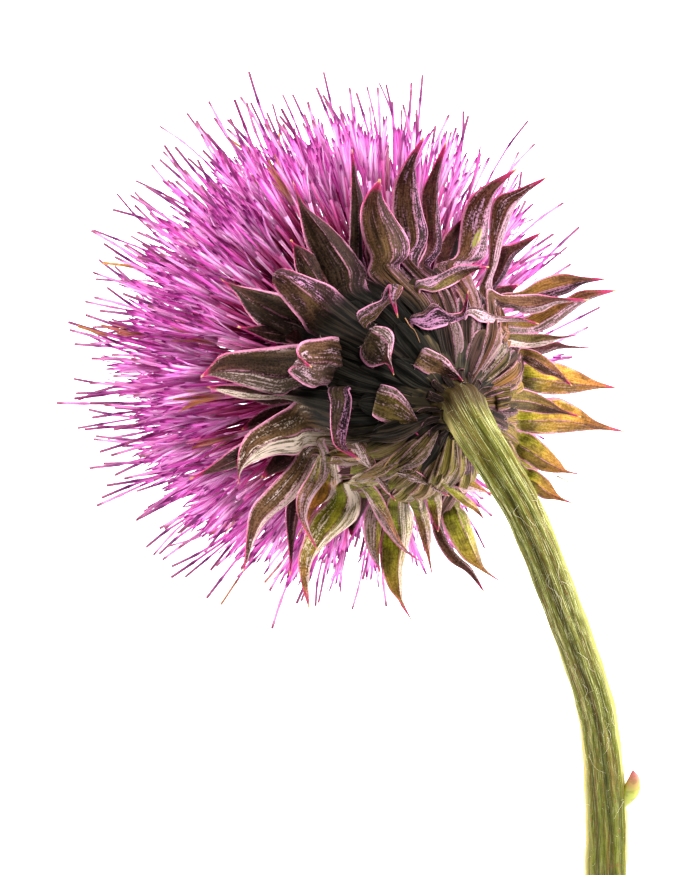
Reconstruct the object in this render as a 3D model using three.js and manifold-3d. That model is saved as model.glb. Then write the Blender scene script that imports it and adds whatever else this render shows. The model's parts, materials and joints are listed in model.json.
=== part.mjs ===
// A nodding thistle head on its cut stem, in millimetres, +Z up.
// It lies as it would on a table: the florets fan out face down, the spiny bracts lie above them,
// and the stem arches over the back of the head down to its slanting cut.
import * as THREE from "three";
import { mergeVertices } from "three/addons/utils/BufferGeometryUtils.js";
import Module from "manifold-3d";

const wasm = await Module();
wasm.setup();

// Driving dimensions.
const pixelSize = 0.125; // one pixel of the photograph at the level of the head, from a stem 5 mm thick
const photoMiddle = { x: 350, y: 437.5 };
const headLevel = 38; // height of the level where a pixel has that size
const viewDistance = 608; // from that level up to the eye
const headTilt = 35; // degrees between the head's axis and the view straight down
const headHeading = 156.1; // degrees in the picture, anticlockwise from its right, that the florets face
const jointLevel = 48; // height of the stem's joint with the head
const joint = { x: 455, y: 405 }; // that joint in the photograph
const cupProfile = [
  // radius, depth along the head from the joint
  [3.4, 0],
  [6.2, 0.5],
  [9.2, 1.9],
  [11.7, 4.2],
  [13.5, 7.4],
  [14.4, 11.0],
  [14.3, 14.2],
  [13.6, 16.6],
];
const cupDepth = 16.6;
const clawCount = 13; // raised claws of the bracts round the cup
const clawRelief = 0.45;
const gap = 0.3; // clearance between neighbouring pieces
const bractThickness = 0.62;
const bractFold = 0.32; // how far a margin folds back, as a share of half the width
const rootDepth = 2.6; // how far a bract's root is sunk into the cup
const seatInset = 0.4; // how far its blade starts below the cup's surface
const leastHalfWidth = 0.45; // of a spine
const mostForeshortened = 0.7; // a width read from the photograph is made good down to this share
const fanDepth = 28; // depth of the middle of the fan of florets
const fanSpread = 97; // degrees from the axis to the last row of florets
const fanRadius = { front: 24, side: 28.5, turnsFrom: 0.25, turnsTo: 1.2 }; // with its angles in radians
const coreRadius = 17.5;
const coreDepth = 26; // depth of the middle of the core
const coreFoot = { radius: 13, brim: 14.8, rise: 0.8 }; // where the core stands on the cup
const coreWidest = 108; // degrees from the axis to where the core turns in to its foot
const needleSeat = { radius: 11, depth: 18.5 }; // the disc that the needles aim from
const needleRoot = 2.2; // how far a needle's root is sunk into the core
const styleLength = { least: 3.5, most: 6.5 };
const reachDraw = { least: -1, most: 0.6 };
const turnDraw = 0.05; // in radians
const leanStep = 0.06; // a needle that would touch a bract leans forward by this, in radians
const mostLean = 0.5;
const pressedMouth = 1; // least height of a floret's mouth where the head rests on the table
const pressedStyle = 0.4; // a style that ends lower than this lies on the table
const floretCount = 400;
const floretRadius = { root: 0.42, mouth: 0.74 };
const stemRadius = 2.45;
const neckRadius = 3.05;
const neckLength = 1.6;
const ridgeCount = 10;
const ridgeHeight = 0.22;
const originInPhoto = { x: 356.4, y: 508 }; // the middle of the part's own box, below it on the table

// Seeded draws, so that the part is the same each time.
let seed = 20813;
function draw(low, high) {
  seed = (seed * 1664525 + 1013904223) % 4294967296;
  return low + ((high - low) * seed) / 4294967296;
}

// A point of the photograph at a height above the table.
function atHeight(x, y, z) {
  const scale = (pixelSize * (headLevel + viewDistance - z)) / viewDistance;
  return new THREE.Vector3((x - photoMiddle.x) * scale, (photoMiddle.y - y) * scale, z);
}

// The head's own frame: its axis runs from the stem's joint towards the florets.
const tilt = THREE.MathUtils.degToRad(headTilt);
const heading = THREE.MathUtils.degToRad(headHeading);
const axis = new THREE.Vector3(
  Math.sin(tilt) * Math.cos(heading),
  Math.sin(tilt) * Math.sin(heading),
  -Math.cos(tilt),
);
const jointPoint = atHeight(joint.x, joint.y, jointLevel);
const sideways = new THREE.Vector3(0, 0, -1).projectOnPlane(axis).normalize();
const across = new THREE.Vector3().crossVectors(axis, sideways);

function onHead(radius, angle, depth) {
  return jointPoint
    .clone()
    .addScaledVector(axis, depth)
    .addScaledVector(sideways, radius * Math.cos(angle))
    .addScaledVector(across, radius * Math.sin(angle));
}

// Radius, angle and depth of a point in the head's frame.
function headPlace(point) {
  const from = point.clone().sub(jointPoint);
  const depth = from.dot(axis);
  const x = from.dot(sideways);
  const y = from.dot(across);
  return { radius: Math.hypot(x, y), angle: Math.atan2(y, x), depth };
}

// A point of the photograph at a depth along the head, where the line of sight meets that level.
const eye = new THREE.Vector3(0, 0, headLevel + viewDistance);
function atDepth(x, y, depth) {
  const sight = atHeight(x, y, headLevel).sub(eye).normalize();
  const level = onHead(0, 0, depth);
  const reach = level.sub(eye).dot(axis) / sight.dot(axis);
  return eye.clone().addScaledVector(sight, reach);
}

function cupRadius(depth) {
  const last = cupProfile.length - 1;
  if (depth >= cupProfile[last][1]) return cupProfile[last][0];
  const i = Math.max(1, cupProfile.findIndex(([, d]) => d > depth));
  const [r0, d0] = cupProfile[i - 1];
  const [r1, d1] = cupProfile[i];
  return THREE.MathUtils.lerp(r0, r1, Math.max(0, (depth - d0) / (d1 - d0)));
}

// A closed body through rings of points. The two halves of a ring are split alike, so that a thin
// waved blade has the same creases on both faces. The end of the loft is a single point or a ring.
function loft(rings, hub = 0) {
  const positions = [];
  const faces = [];
  const starts = rings.map((ring) => {
    const start = positions.length / 3;
    ring.forEach((p) => positions.push(p.x, p.y, p.z));
    return start;
  });
  const size = rings[0].length;
  for (let k = 0; k + 1 < rings.length; k++) {
    for (let i = 0; i < size; i++) {
      const j = (i + 1) % size;
      const [a, b] = [starts[k] + i, starts[k] + j];
      if (rings[k + 1].length === 1) {
        faces.push(a, b, starts[k + 1]);
        continue;
      }
      const [c, d] = [starts[k + 1] + i, starts[k + 1] + j];
      if (i < size / 2) faces.push(a, b, d, a, d, c);
      else faces.push(a, b, c, b, d, c);
    }
  }
  const capRing = (start, turned) => {
    for (let n = 1; n + 1 < size; n++) {
      const i = start + ((hub + n) % size);
      const j = start + ((hub + n + 1) % size);
      faces.push(start + hub, turned ? j : i, turned ? i : j);
    }
  };
  capRing(starts[0], true);
  if (rings.at(-1).length > 1) capRing(starts.at(-1), false);
  const geometry = new THREE.BufferGeometry();
  geometry.setAttribute("position", new THREE.Float32BufferAttribute(positions, 3));
  geometry.setIndex(faces);
  return geometry;
}

function signedVolume(positions, faces) {
  let sum = 0;
  const corner = (n) => new THREE.Vector3().fromArray(positions, 3 * faces[n]);
  for (let i = 0; i < faces.length; i += 3) {
    sum += corner(i).dot(corner(i + 1).cross(corner(i + 2)));
  }
  return sum / 6;
}

// A closed geometry as a solid that can be joined and cut, with its faces turned outwards.
function solid(geometry) {
  const bare = geometry.clone();
  bare.deleteAttribute("normal");
  bare.deleteAttribute("uv");
  const merged = mergeVertices(bare, 1e-5);
  const vertProperties = merged.attributes.position.array;
  const triVerts = new Uint32Array(merged.index.array);
  if (signedVolume(vertProperties, triVerts) < 0) triVerts.reverse();
  return new wasm.Manifold(new wasm.Mesh({ numProp: 3, vertProperties, triVerts }));
}

function namedMesh(name, body, material) {
  const made = body.getMesh();
  const geometry = new THREE.BufferGeometry();
  geometry.setAttribute("position", new THREE.BufferAttribute(made.vertProperties, 3));
  geometry.setIndex(new THREE.BufferAttribute(made.triVerts, 1));
  geometry.computeVertexNormals();
  const mesh = new THREE.Mesh(geometry, material);
  mesh.name = name;
  return mesh;
}

function headMatrix() {
  return new THREE.Matrix4().makeBasis(sideways, axis, across.clone().negate()).setPosition(jointPoint);
}

// Cup: a turned body with raised claws, which the bracts grow from, flat where the florets stand on it.
function cupSolid() {
  const points = [new THREE.Vector2(0, 0)];
  cupProfile.forEach(([r, d]) => points.push(new THREE.Vector2(r, d)));
  points.push(new THREE.Vector2(0, cupDepth));
  const turned = new THREE.LatheGeometry(points, 2 * clawCount);
  const place = turned.attributes.position;
  for (let i = 0; i < place.count; i++) {
    const line = Math.floor(i / points.length);
    const radius = Math.hypot(place.getX(i), place.getZ(i));
    const raised = radius > neckRadius + 1 && line % 2 === 0;
    const scale = raised ? 1 + clawRelief / radius : 1;
    place.setXYZ(i, place.getX(i) * scale, place.getY(i), place.getZ(i) * scale);
  }
  return solid(turned.applyMatrix4(headMatrix()));
}

// Bracts that the photograph shows. Each keel is given where it leaves the cup, where it bends and where
// its spine ends: x and y in the photograph, then the depth along the head. The width is in millimetres,
// and roll turns the blade about its keel, in degrees.
const bracts = [
  { name: "left dark", keel: [[320, 325, 13.5], [270, 303, 13.6], [225, 281, 12.5]], width: 5 },
  { name: "left sliver", keel: [[312, 340, 14], [272, 333, 14.4], [238, 327, 14]], width: 2.4 },
  { name: "left broad", keel: [[325, 365, 10], [265, 368, 10.6], [203, 377, 10]], width: 5.7 },
  { name: "left low sliver", keel: [[310, 395, 12.5], [255, 391, 13], [207, 388, 12.5]], width: 2.4 },
  { name: "upper left dark", keel: [[325, 295, 13.5], [308, 265, 14], [291, 240, 14]], width: 3.7 },
  { name: "upper left tall", keel: [[352, 292, 12.6], [325, 238, 12.6], [297, 183, 12]], width: 6 },
  { name: "top edge-on", keel: [[366, 275, 13], [358, 215, 13], [353, 160, 12]], width: 3.2, roll: 62 },
  { name: "top broad", keel: [[395, 275, 11.5], [386, 232, 11.6], [384, 172, 10]], width: 5.4 },
  { name: "top tall", keel: [[418, 275, 12], [409, 205, 13], [426, 134, 12]], width: 4.4 },
  { name: "top narrow", keel: [[432, 275, 13], [436, 215, 13], [443, 147, 12.5]], width: 2.8 },
  { name: "upper right long", keel: [[448, 268, 10.5], [470, 215, 11.6], [517, 168, 10]], width: 3.9 },
  { name: "upper right dark", keel: [[480, 285, 12], [495, 222, 12.3], [550, 177, 9.5]], width: 3.2 },
  { name: "upper right short", keel: [[480, 300, 13.5], [505, 254, 12.5], [541, 232, 11]], width: 2.6 },
  { name: "upper pink", keel: [[425, 290, 8], [452, 278, 7.4], [492, 268, 6]], width: 2.6 },
  { name: "centre pink", keel: [[415, 324, 4], [440, 318, 2], [470, 316, 1.6]], width: 3.3 },
  { name: "centre long", keel: [[468, 313, 4.2], [505, 320, 4], [537, 323, 4.4]], width: 2.2, roll: 40 },
  { name: "right high", keel: [[500, 303, 10], [550, 285, 9.4], [606, 279, 7.5]], width: 3 },
  { name: "right hooked", keel: [[488, 302, 7], [540, 301, 6.6], [588, 300, 6]], width: 2.9 },
  { name: "right pale", keel: [[505, 325, 9], [555, 315, 8.6], [617, 290, 7.5]], width: 3.1 },
  { name: "right olive", keel: [[495, 342, 6], [535, 340, 5.4], [578, 335, 4.6]], width: 2.4 },
  { name: "right magenta tip", keel: [[520, 350, 11], [560, 350, 10], [595, 347, 9.4]], width: 2.2 },
  { name: "right small", keel: [[515, 350, 8], [548, 366, 6.4], [572, 386, 5.6]], width: 2.7 },
  { name: "right ochre", keel: [[520, 368, 10], [560, 380, 8.6], [616, 388, 6.8]], width: 3.7 },
  { name: "right bent", keel: [[500, 398, 4.4], [540, 402, 4.2], [580, 417, 3.6]], width: 3.2 },
  { name: "right low ochre", keel: [[515, 418, 9.4], [560, 418, 7.4], [625, 432, 5.6]], width: 4.2 },
  { name: "right lower", keel: [[513, 437, 8.4], [540, 455, 7.4], [580, 474, 6]], width: 3.6 },
  { name: "right lowest", keel: [[520, 470, 9.6], [545, 487, 8.4], [571, 503, 7]], width: 2.6 },
  { name: "right stray", keel: [[520, 462, 11], [538, 480, 10.4], [552, 497, 9.8]], width: 2.2 },
  { name: "lower left broad", keel: [[308, 425, 11.5], [268, 438, 11.8], [240, 478, 11]], width: 5.2 },
  { name: "lower left dark", keel: [[290, 432, 13.5], [240, 455, 13.4], [190, 481, 12.4]], width: 3 },
  { name: "lower left long", keel: [[312, 450, 12.6], [278, 492, 12.8], [243, 571, 11.4]], width: 4.2 },
  { name: "lower left inner", keel: [[322, 440, 10.8], [303, 492, 11], [318, 551, 10.6]], width: 4.3 },
  { name: "lower orange", keel: [[337, 470, 12], [325, 498, 13], [306, 530, 13]], width: 2.9 },
  { name: "lower green", keel: [[345, 488, 12], [325, 535, 12.4], [309, 608, 10.6]], width: 5.2 },
  { name: "lower maroon", keel: [[300, 480, 14.6], [295, 510, 15], [290, 575, 14.6]], width: 2.2 },
  { name: "bottom folded", keel: [[360, 483, 9.2], [385, 522, 8.6], [421, 563, 7.4]], width: 3 },
  { name: "bottom green", keel: [[400, 500, 11.6], [393, 555, 11.6], [411, 620, 9.6]], width: 4.8 },
  { name: "bottom pale", keel: [[382, 495, 12.6], [374, 540, 13], [380, 572, 12.6]], width: 2.4 },
  { name: "bottom narrow", keel: [[410, 495, 9], [422, 530, 9], [433, 577, 8.6]], width: 2.7 },
  { name: "bottom dark", keel: [[434, 485, 6.4], [434, 505, 6.2], [438, 532, 6]], width: 2.5 },
  { name: "bottom right green", keel: [[448, 498, 10], [463, 535, 9.2], [500, 582, 7.6]], width: 3.9 },
  { name: "bottom right brown", keel: [[432, 515, 12], [455, 562, 11], [484, 592, 9.6]], width: 2.8 },
  { name: "under stem", keel: [[434, 476, 3.4], [455, 492, 3.2], [484, 519, 3.4]], width: 2.3 },
  { name: "behind stem", keel: [[440, 470, 5.4], [462, 484, 5], [492, 494, 5]], width: 2.6 },
  { name: "lower claw", keel: [[362, 440, 4.6], [376, 466, 3.8], [396, 501, 4]], width: 3.4 },
  { name: "lower small", keel: [[402, 470, 3.4], [420, 481, 2.6], [447, 495, 2.8]], width: 2.4 },
];

// Short bracts that turn back towards the stem and show end-on: both margins and the keel are given from
// the fold to the widest place, then the point, then the end of the spine.
const turnedBracts = [
  {
    name: "hood",
    left: [[322, 334, 9.4], [293, 312, 9.2]],
    keel: [[336, 310, 9], [303, 292, 8.4]],
    right: [[347, 292, 9.4], [312, 276, 9.2]],
    point: [277, 274, 9.6],
    spine: [272, 279, 11],
  },
  {
    name: "left stub",
    left: [[318, 388, 6.6], [290, 373, 6]],
    keel: [[330, 364, 6], [312, 361, 4.4]],
    right: [[337, 338, 6.6], [301, 342, 6]],
    point: [303, 362, 3.6],
    spine: [312, 367, 2.6],
  },
  {
    name: "upper stub",
    left: [[361, 311, 6], [371, 327, 4.6]],
    keel: [[374, 300, 5.6], [382, 304, 3.6]],
    right: [[388, 285, 6], [402, 292, 4.6]],
    point: [390, 306, 3],
    spine: [398, 318, 2.6],
  },
  {
    name: "middle stub",
    left: [[357, 358, 3.6], [371, 367, 2]],
    keel: [[371, 337, 3], [380, 350, 0.8]],
    right: [[385, 330, 3.6], [394, 338, 1.4]],
    point: [388, 362, 0.2],
    spine: [393, 374, 0],
  },
  {
    name: "stem stub",
    left: [[413, 366, 0.4], [440, 377, -0.6]],
    keel: [[419, 357, 0], [440, 366, -1.2]],
    right: [[425, 349, 0.4], [446, 358, -0.6]],
    point: [456, 375, -1],
    spine: [462, 380, -0.8],
  },
  {
    name: "lower stub",
    left: [[373, 413, 2.2], [392, 421, 1]],
    keel: [[377, 399, 1.6], [396, 407, 0.2]],
    right: [[382, 385, 2.2], [402, 396, 1]],
    point: [418, 422, 0.4],
    spine: [431, 431, 0.6],
  },
  {
    name: "folded stub",
    left: [[330, 388, 5.8], [329, 425, 4.8]],
    keel: [[345, 390, 5], [341, 420, 3.6]],
    right: [[350, 392, 5.6], [351, 414, 4.6]],
    point: [343, 446, 3.8],
    spine: [357, 459, 3.4],
  },
];

// Half widths along a bract, as shares of its full half width.
const bractOutline = [
  [0, 0.7],
  [0.2, 0.97],
  [0.4, 1],
  [0.62, 0.76],
  [0.8, 0.4],
  [0.9, 0.2],
  [1, 0],
];
function outlineAt(share) {
  const i = bractOutline.findIndex(([s]) => s >= share);
  if (i < 1) return bractOutline[0][1];
  const [s0, w0] = bractOutline[i - 1];
  const [s1, w1] = bractOutline[i];
  return THREE.MathUtils.lerp(w0, w1, (share - s0) / (s1 - s0));
}

// One section of a bract: both margins and the keel, with the blade's thickness about them.
function bractRing(left, keel, right, normal, thickness) {
  const half = normal.clone().multiplyScalar(thickness / 2);
  const front = [left, keel, right].map((p) => p.clone().add(half));
  const back = [right, keel, left].map((p) => p.clone().sub(half));
  return [...front, ...back];
}
const bractSections = [0.04, 0.4, 0.58, 0.76, 0.93]; // from the root, with the seat at a third
const turnedTaper = 0.62; // how near to its point a turned bract has its last broad section
const concaveCorner = 4; // the corner of a section that sees all the others

const turnedRootLevels = { least: 1.5, most: 12 };
function sunkInCup(point, depth) {
  const place = headPlace(point);
  const level = THREE.MathUtils.clamp(place.depth, turnedRootLevels.least, turnedRootLevels.most);
  return onHead(Math.min(place.radius, cupRadius(level)) - depth, place.angle, level);
}

function spreadBract({ keel, width, roll = 0 }, extra) {
  const [seat, bend, tip] = keel.map(([x, y, depth]) => atDepth(x, y, depth));
  const level = keel[0][2];
  const { angle } = headPlace(seat);
  const onCup = onHead(cupRadius(level) - seatInset, angle, level);
  const root = onHead(cupRadius(level) - rootDepth, angle, level);
  const path = new THREE.CatmullRomCurve3([root, onCup, bend, tip], false, "catmullrom", 0.5);
  const bendAngle = headPlace(bend).angle;
  const round = onHead(1, bendAngle + Math.PI / 2, 0).sub(jointPoint);
  const rings = bractSections.map((t) => {
    const share = Math.max(0, (t - 1 / 3) * 1.5);
    const point = path.getPoint(t);
    const along = path.getTangent(t);
    const side = round.clone().projectOnPlane(along).normalize();
    side.applyAxisAngle(along, THREE.MathUtils.degToRad(roll));
    const normal = new THREE.Vector3().crossVectors(side, along).normalize();
    if (normal.dot(axis) > 0) normal.negate();
    const flat = Math.max(mostForeshortened, Math.hypot(side.x, side.y));
    const half = Math.max(leastHalfWidth, (outlineAt(share) * width) / 2 / flat) + extra;
    const fold = normal.clone().multiplyScalar(-bractFold * half);
    const left = point.clone().addScaledVector(side, -half).add(fold);
    const right = point.clone().addScaledVector(side, half).add(fold);
    return bractRing(left, point, right, normal, bractThickness + 2 * extra);
  });
  const end = path.getPoint(1).addScaledVector(path.getTangent(1), extra);
  return loft([...rings, [end]], concaveCorner);
}

function turnedBract({ left, keel, right, point, spine }, extra) {
  const place = ([x, y, depth]) => atDepth(x, y, depth);
  const tip = place(point);
  const end = place(spine);
  const sections = [0, 1].map((i) => [place(left[i]), place(keel[i]), place(right[i])]);
  const sunk = sections[0].map((p) => sunkInCup(p, rootDepth));
  const narrow = sections[1].map((p) => p.clone().lerp(tip, turnedTaper));
  const width = sections[1][2].clone().sub(sections[1][0]).setLength(leastHalfWidth);
  const small = [-1, 0, 1].map((d) => tip.clone().addScaledVector(width, d));
  const along = end.clone().sub(sections[0][1]);
  const rings = [sunk, ...sections, narrow, small].map(([a, b, c]) => {
    const side = c.clone().sub(a).normalize();
    const normal = new THREE.Vector3().crossVectors(side, along).normalize();
    if (normal.dot(axis) > 0) normal.negate();
    const outA = a.clone().addScaledVector(side, -extra);
    const outC = c.clone().addScaledVector(side, extra);
    return bractRing(outA, b, outC, normal, bractThickness + 2 * extra);
  });
  return loft([...rings, [end]], concaveCorner);
}

// Inner bracts that lie behind the others, spaced evenly round the cup.
function innerBracts({ count, level, reach, width }) {
  return Array.from({ length: count }, (_, i) => {
    const angle = ((i + draw(-0.2, 0.2)) / count) * 2 * Math.PI;
    return { angle, level, reach: reach + draw(-1.2, 1.2), width: width + draw(-0.3, 0.3) };
  });
}
const hiddenRows = [
  { count: 18, level: 15.2, reach: 25, width: 3.4 },
  { count: 12, level: 13.4, reach: 27, width: 3.6 },
];
const hiddenBracts = hiddenRows.flatMap(innerBracts);
const hiddenSections = [
  // share of the way from the cup to the tip, rise towards the florets, share of the width
  [0.05, 0, 0.85],
  [0.5, 0.7, 1],
  [0.82, 0.9, 0.42],
];
const hiddenTipRise = 0.6;

function hiddenBract({ angle, level, reach, width }, extra) {
  const wall = cupRadius(level);
  const outer = hiddenSections.map(([s, rise, w]) => [THREE.MathUtils.lerp(wall, reach, s), level + rise, w]);
  const stations = [[wall - rootDepth, level, 0.8], ...outer];
  const round = onHead(1, angle + Math.PI / 2, 0).sub(jointPoint);
  const back = axis.clone().negate();
  const rings = stations.map(([radius, depth, share]) => {
    const point = onHead(radius, angle, depth);
    const half = (share * width) / 2 + extra;
    const fold = back.clone().multiplyScalar(-bractFold * half);
    const left = point.clone().addScaledVector(round, -half).add(fold);
    const right = point.clone().addScaledVector(round, half).add(fold);
    return bractRing(left, point, right, back, bractThickness + 2 * extra);
  });
  return loft([...rings, [onHead(reach + extra, angle, level + hiddenTipRise)]], concaveCorner);
}

// The involucre, and with extra the space that its neighbours keep clear of.
function involucreSolid(extra) {
  const blades = [
    ...bracts.map((b) => spreadBract(b, extra)),
    ...turnedBracts.map((b) => turnedBract(b, extra)),
    ...hiddenBracts.map((b) => hiddenBract(b, extra)),
  ];
  return wasm.Manifold.union([cupSolid(), ...blades.map(solid)]);
}

// Florets: needles that widen to a mouth and end in a long style, on a core that stands on the cup.
function coreSolid() {
  const foot = cupDepth + gap;
  const { radius, brim, rise } = coreFoot;
  const points = [[0, foot], [radius, foot], [brim, foot + rise]].map(([x, y]) => new THREE.Vector2(x, y));
  const steps = 6;
  for (let i = 0; i <= steps; i++) {
    const angle = THREE.MathUtils.degToRad(coreWidest) * (1 - i / steps);
    points.push(new THREE.Vector2(coreRadius * Math.sin(angle), coreDepth + coreRadius * Math.cos(angle)));
  }
  return solid(new THREE.LatheGeometry(points, 18).applyMatrix4(headMatrix()));
}

function needle(root, mouth, style) {
  const along = mouth.clone().sub(root).normalize();
  const side = new THREE.Vector3().crossVectors(along, axis).normalize();
  const up = new THREE.Vector3().crossVectors(side, along);
  const ring = (centre, radius) =>
    [0, 1, 2].map((i) => {
      const angle = (i * 2 * Math.PI) / 3;
      return centre
        .clone()
        .addScaledVector(side, radius * Math.cos(angle))
        .addScaledVector(up, radius * Math.sin(angle));
    });
  return loft([ring(root, floretRadius.root), ring(mouth, floretRadius.mouth), [style]]);
}

function fanTip(angle, turn, reach) {
  return onHead(reach * Math.sin(angle), turn, fanDepth + reach * Math.cos(angle));
}

function floretSolids(keepClear) {
  const spread = THREE.MathUtils.degToRad(fanSpread);
  const golden = Math.PI * (3 - Math.sqrt(5));
  const coreMiddle = onHead(0, 0, coreDepth);
  const found = [];
  for (let i = 0; i < floretCount; i++) {
    const angle = Math.acos(1 - ((i + 0.5) / floretCount) * (1 - Math.cos(spread)));
    const turn = i * golden + draw(-turnDraw, turnDraw);
    const rise = THREE.MathUtils.smoothstep(angle, fanRadius.turnsFrom, fanRadius.turnsTo);
    const flatness = THREE.MathUtils.lerp(fanRadius.front, fanRadius.side, rise);
    const reach = flatness + draw(reachDraw.least, reachDraw.most);
    const style = draw(styleLength.least, styleLength.most);
    for (let lean = 0; lean < mostLean; lean += leanStep) {
      const mouth = fanTip(angle - lean, turn, reach);
      const end = fanTip(angle - lean, turn + draw(-turnDraw, turnDraw), reach + style);
      const share = angle / spread;
      const seat = onHead(needleSeat.radius * share, turn, needleSeat.depth);
      let sunk = 0;
      while (seat.clone().lerp(mouth, sunk).distanceTo(coreMiddle) < coreRadius - needleRoot) sunk += 0.05;
      const root = seat.clone().lerp(mouth, sunk);
      mouth.z = Math.max(mouth.z, pressedMouth);
      if (end.z < pressedStyle) end.z = 0;
      const body = solid(needle(root, mouth, end));
      if (!body.intersect(keepClear).isEmpty()) continue;
      found.push(body);
      break;
    }
  }
  return found;
}

// Stem: a ridged sweep from the head over its arch and down to a slanting cut, with one leaf remnant.
const stemLine = [
  // x and y in the photograph, height, radius
  [468, 417, 51.2, 2.8],
  [480, 438, 53.4, 2.62],
  [500, 469, 53.6, 2.5],
  [521, 506, 51.6, stemRadius],
  [542, 553, 47.5, stemRadius],
  [560, 601, 42.4, stemRadius],
  [578, 649, 36.6, stemRadius],
  [593, 696, 30.6, stemRadius],
  [600, 736, 25.2, 2.5],
  [604, 775, 19.8, 2.55],
  [606, 815, 14.2, 2.6],
  [606, 854, 8.8, 2.65],
  [606, 900, 1.7, 2.65],
];
function stemSolid() {
  const start = jointPoint.clone().addScaledVector(axis, -gap);
  const neck = start.clone().addScaledVector(axis, -neckLength);
  const line = stemLine.map(([x, y, z, r]) => [atHeight(x, y, z), r]);
  const points = [[start, neckRadius], [neck, neckRadius], ...line];
  const path = new THREE.CatmullRomCurve3(
    points.map(([p]) => p),
    false,
    "catmullrom",
    0.5,
  );
  const steps = 26;
  const sides = ridgeCount * 2;
  const rings = [];
  let side = across.clone();
  for (let k = 0; k <= steps; k++) {
    const t = k / steps;
    const place = t * (points.length - 1);
    const i = Math.min(Math.floor(place), points.length - 2);
    const radius = THREE.MathUtils.lerp(points[i][1], points[i + 1][1], place - i);
    const along = k === 0 ? axis.clone().negate() : path.getTangent(t);
    side = side.projectOnPlane(along).normalize();
    const up = new THREE.Vector3().crossVectors(along, side);
    const centre = path.getPoint(t);
    rings.push(
      Array.from({ length: sides }, (_, n) => {
        const angle = (n / sides) * 2 * Math.PI;
        const reach = radius - (n % 2 ? ridgeHeight : 0);
        const p = centre.clone();
        p.addScaledVector(side, reach * Math.cos(angle)).addScaledVector(up, reach * Math.sin(angle));
        p.z = Math.max(p.z, 0);
        return p;
      }),
    );
  }
  return solid(loft(rings));
}

const remnantLine = [
  [620, 802, 16.5],
  [630, 790, 18.2],
  [633, 770, 21],
];
const remnantSections = [
  // share of its length, half width
  [0, 1.1],
  [0.4, 1.25],
  [0.75, 0.8],
];
const remnantFlatness = 0.8;
function leafRemnant() {
  const path = new THREE.CatmullRomCurve3(remnantLine.map(([x, y, z]) => atHeight(x, y, z)));
  const rings = remnantSections.map(([t, half]) => {
    const p = path.getPoint(t);
    const along = path.getTangent(t);
    const side = new THREE.Vector3(1, 0, 0).projectOnPlane(along).normalize();
    const up = new THREE.Vector3().crossVectors(side, along);
    return Array.from({ length: 8 }, (_, n) => {
      const angle = (n * Math.PI) / 4;
      const q = p.clone().addScaledVector(side, half * Math.cos(angle));
      return q.addScaledVector(up, remnantFlatness * half * Math.sin(angle));
    });
  });
  return solid(loft([...rings, [path.getPoint(1)]]));
}

const stemMaterial = new THREE.MeshStandardMaterial({ color: 0x88905a, roughness: 0.7, metalness: 0 });
const bractMaterial = new THREE.MeshStandardMaterial({ color: 0x5a4636, roughness: 0.65, metalness: 0 });
const floretMaterial = new THREE.MeshStandardMaterial({ color: 0xd66ecd, roughness: 0.6, metalness: 0 });

const stem = wasm.Manifold.union([stemSolid(), leafRemnant()]);
const involucre = involucreSolid(0);
const keepClear = involucreSolid(gap);
const florets = wasm.Manifold.union([coreSolid(), ...floretSolids(keepClear)]);

const thistle = new THREE.Group();
thistle.add(
  namedMesh("stem", stem, stemMaterial),
  namedMesh("involucre", involucre, bractMaterial),
  namedMesh("florets", florets, floretMaterial),
);
const origin = atHeight(originInPhoto.x, originInPhoto.y, headLevel);
thistle.position.set(-origin.x, -origin.y, 0);

export default thistle;
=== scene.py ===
# %% [markdown]
# # A nodding thistle head on its cut stem
# The real thing is a flower head as wide as a hand's palm. A dark cup carries spiny, keeled
# bracts on its outside and hundreds of violet-pink florets inside, and it nods on a ridged stem.
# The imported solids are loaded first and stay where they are. Every finer piece is made in the
# same frame, so that it needs no fitting afterwards.

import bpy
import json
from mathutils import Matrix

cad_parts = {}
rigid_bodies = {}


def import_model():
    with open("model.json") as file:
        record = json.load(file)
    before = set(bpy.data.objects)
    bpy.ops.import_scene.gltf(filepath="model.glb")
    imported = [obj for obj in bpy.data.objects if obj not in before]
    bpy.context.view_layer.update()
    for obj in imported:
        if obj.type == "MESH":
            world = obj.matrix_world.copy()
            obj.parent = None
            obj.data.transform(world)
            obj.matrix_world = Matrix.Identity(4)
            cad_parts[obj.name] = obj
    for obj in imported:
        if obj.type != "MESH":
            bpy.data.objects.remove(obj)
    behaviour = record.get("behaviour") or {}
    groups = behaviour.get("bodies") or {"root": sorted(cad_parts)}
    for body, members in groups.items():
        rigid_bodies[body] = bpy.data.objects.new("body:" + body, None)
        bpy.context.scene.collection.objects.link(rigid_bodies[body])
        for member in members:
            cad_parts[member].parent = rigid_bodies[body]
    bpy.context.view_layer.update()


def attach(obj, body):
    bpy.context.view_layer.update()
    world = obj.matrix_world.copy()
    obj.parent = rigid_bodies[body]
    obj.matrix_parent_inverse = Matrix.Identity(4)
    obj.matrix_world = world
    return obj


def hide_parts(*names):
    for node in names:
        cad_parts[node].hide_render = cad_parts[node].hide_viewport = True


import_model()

# %% [markdown]
# ## Places
# The solids were laid out on the photograph, with the picture's pixels as a ruler at one level
# above the table. The same ruler is repeated here, in millimetres, because it puts each bract
# where it grows. A metre is Blender's unit, so a mesh is scaled once, when it is made.

# %% Ruler
import json
import math

import bpy
import numpy as np
from mathutils import Vector

MILLIMETRE = 0.001  # in metres; all other lengths are in millimetres until a mesh is made
PIXEL_SIZE = 0.125
PHOTO_MIDDLE = (350, 437.5)
TABLE_ORIGIN = (356.4, 508)  # the picture's point above the table's origin
HEAD_LEVEL = 38
VIEW_DISTANCE = 608


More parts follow.
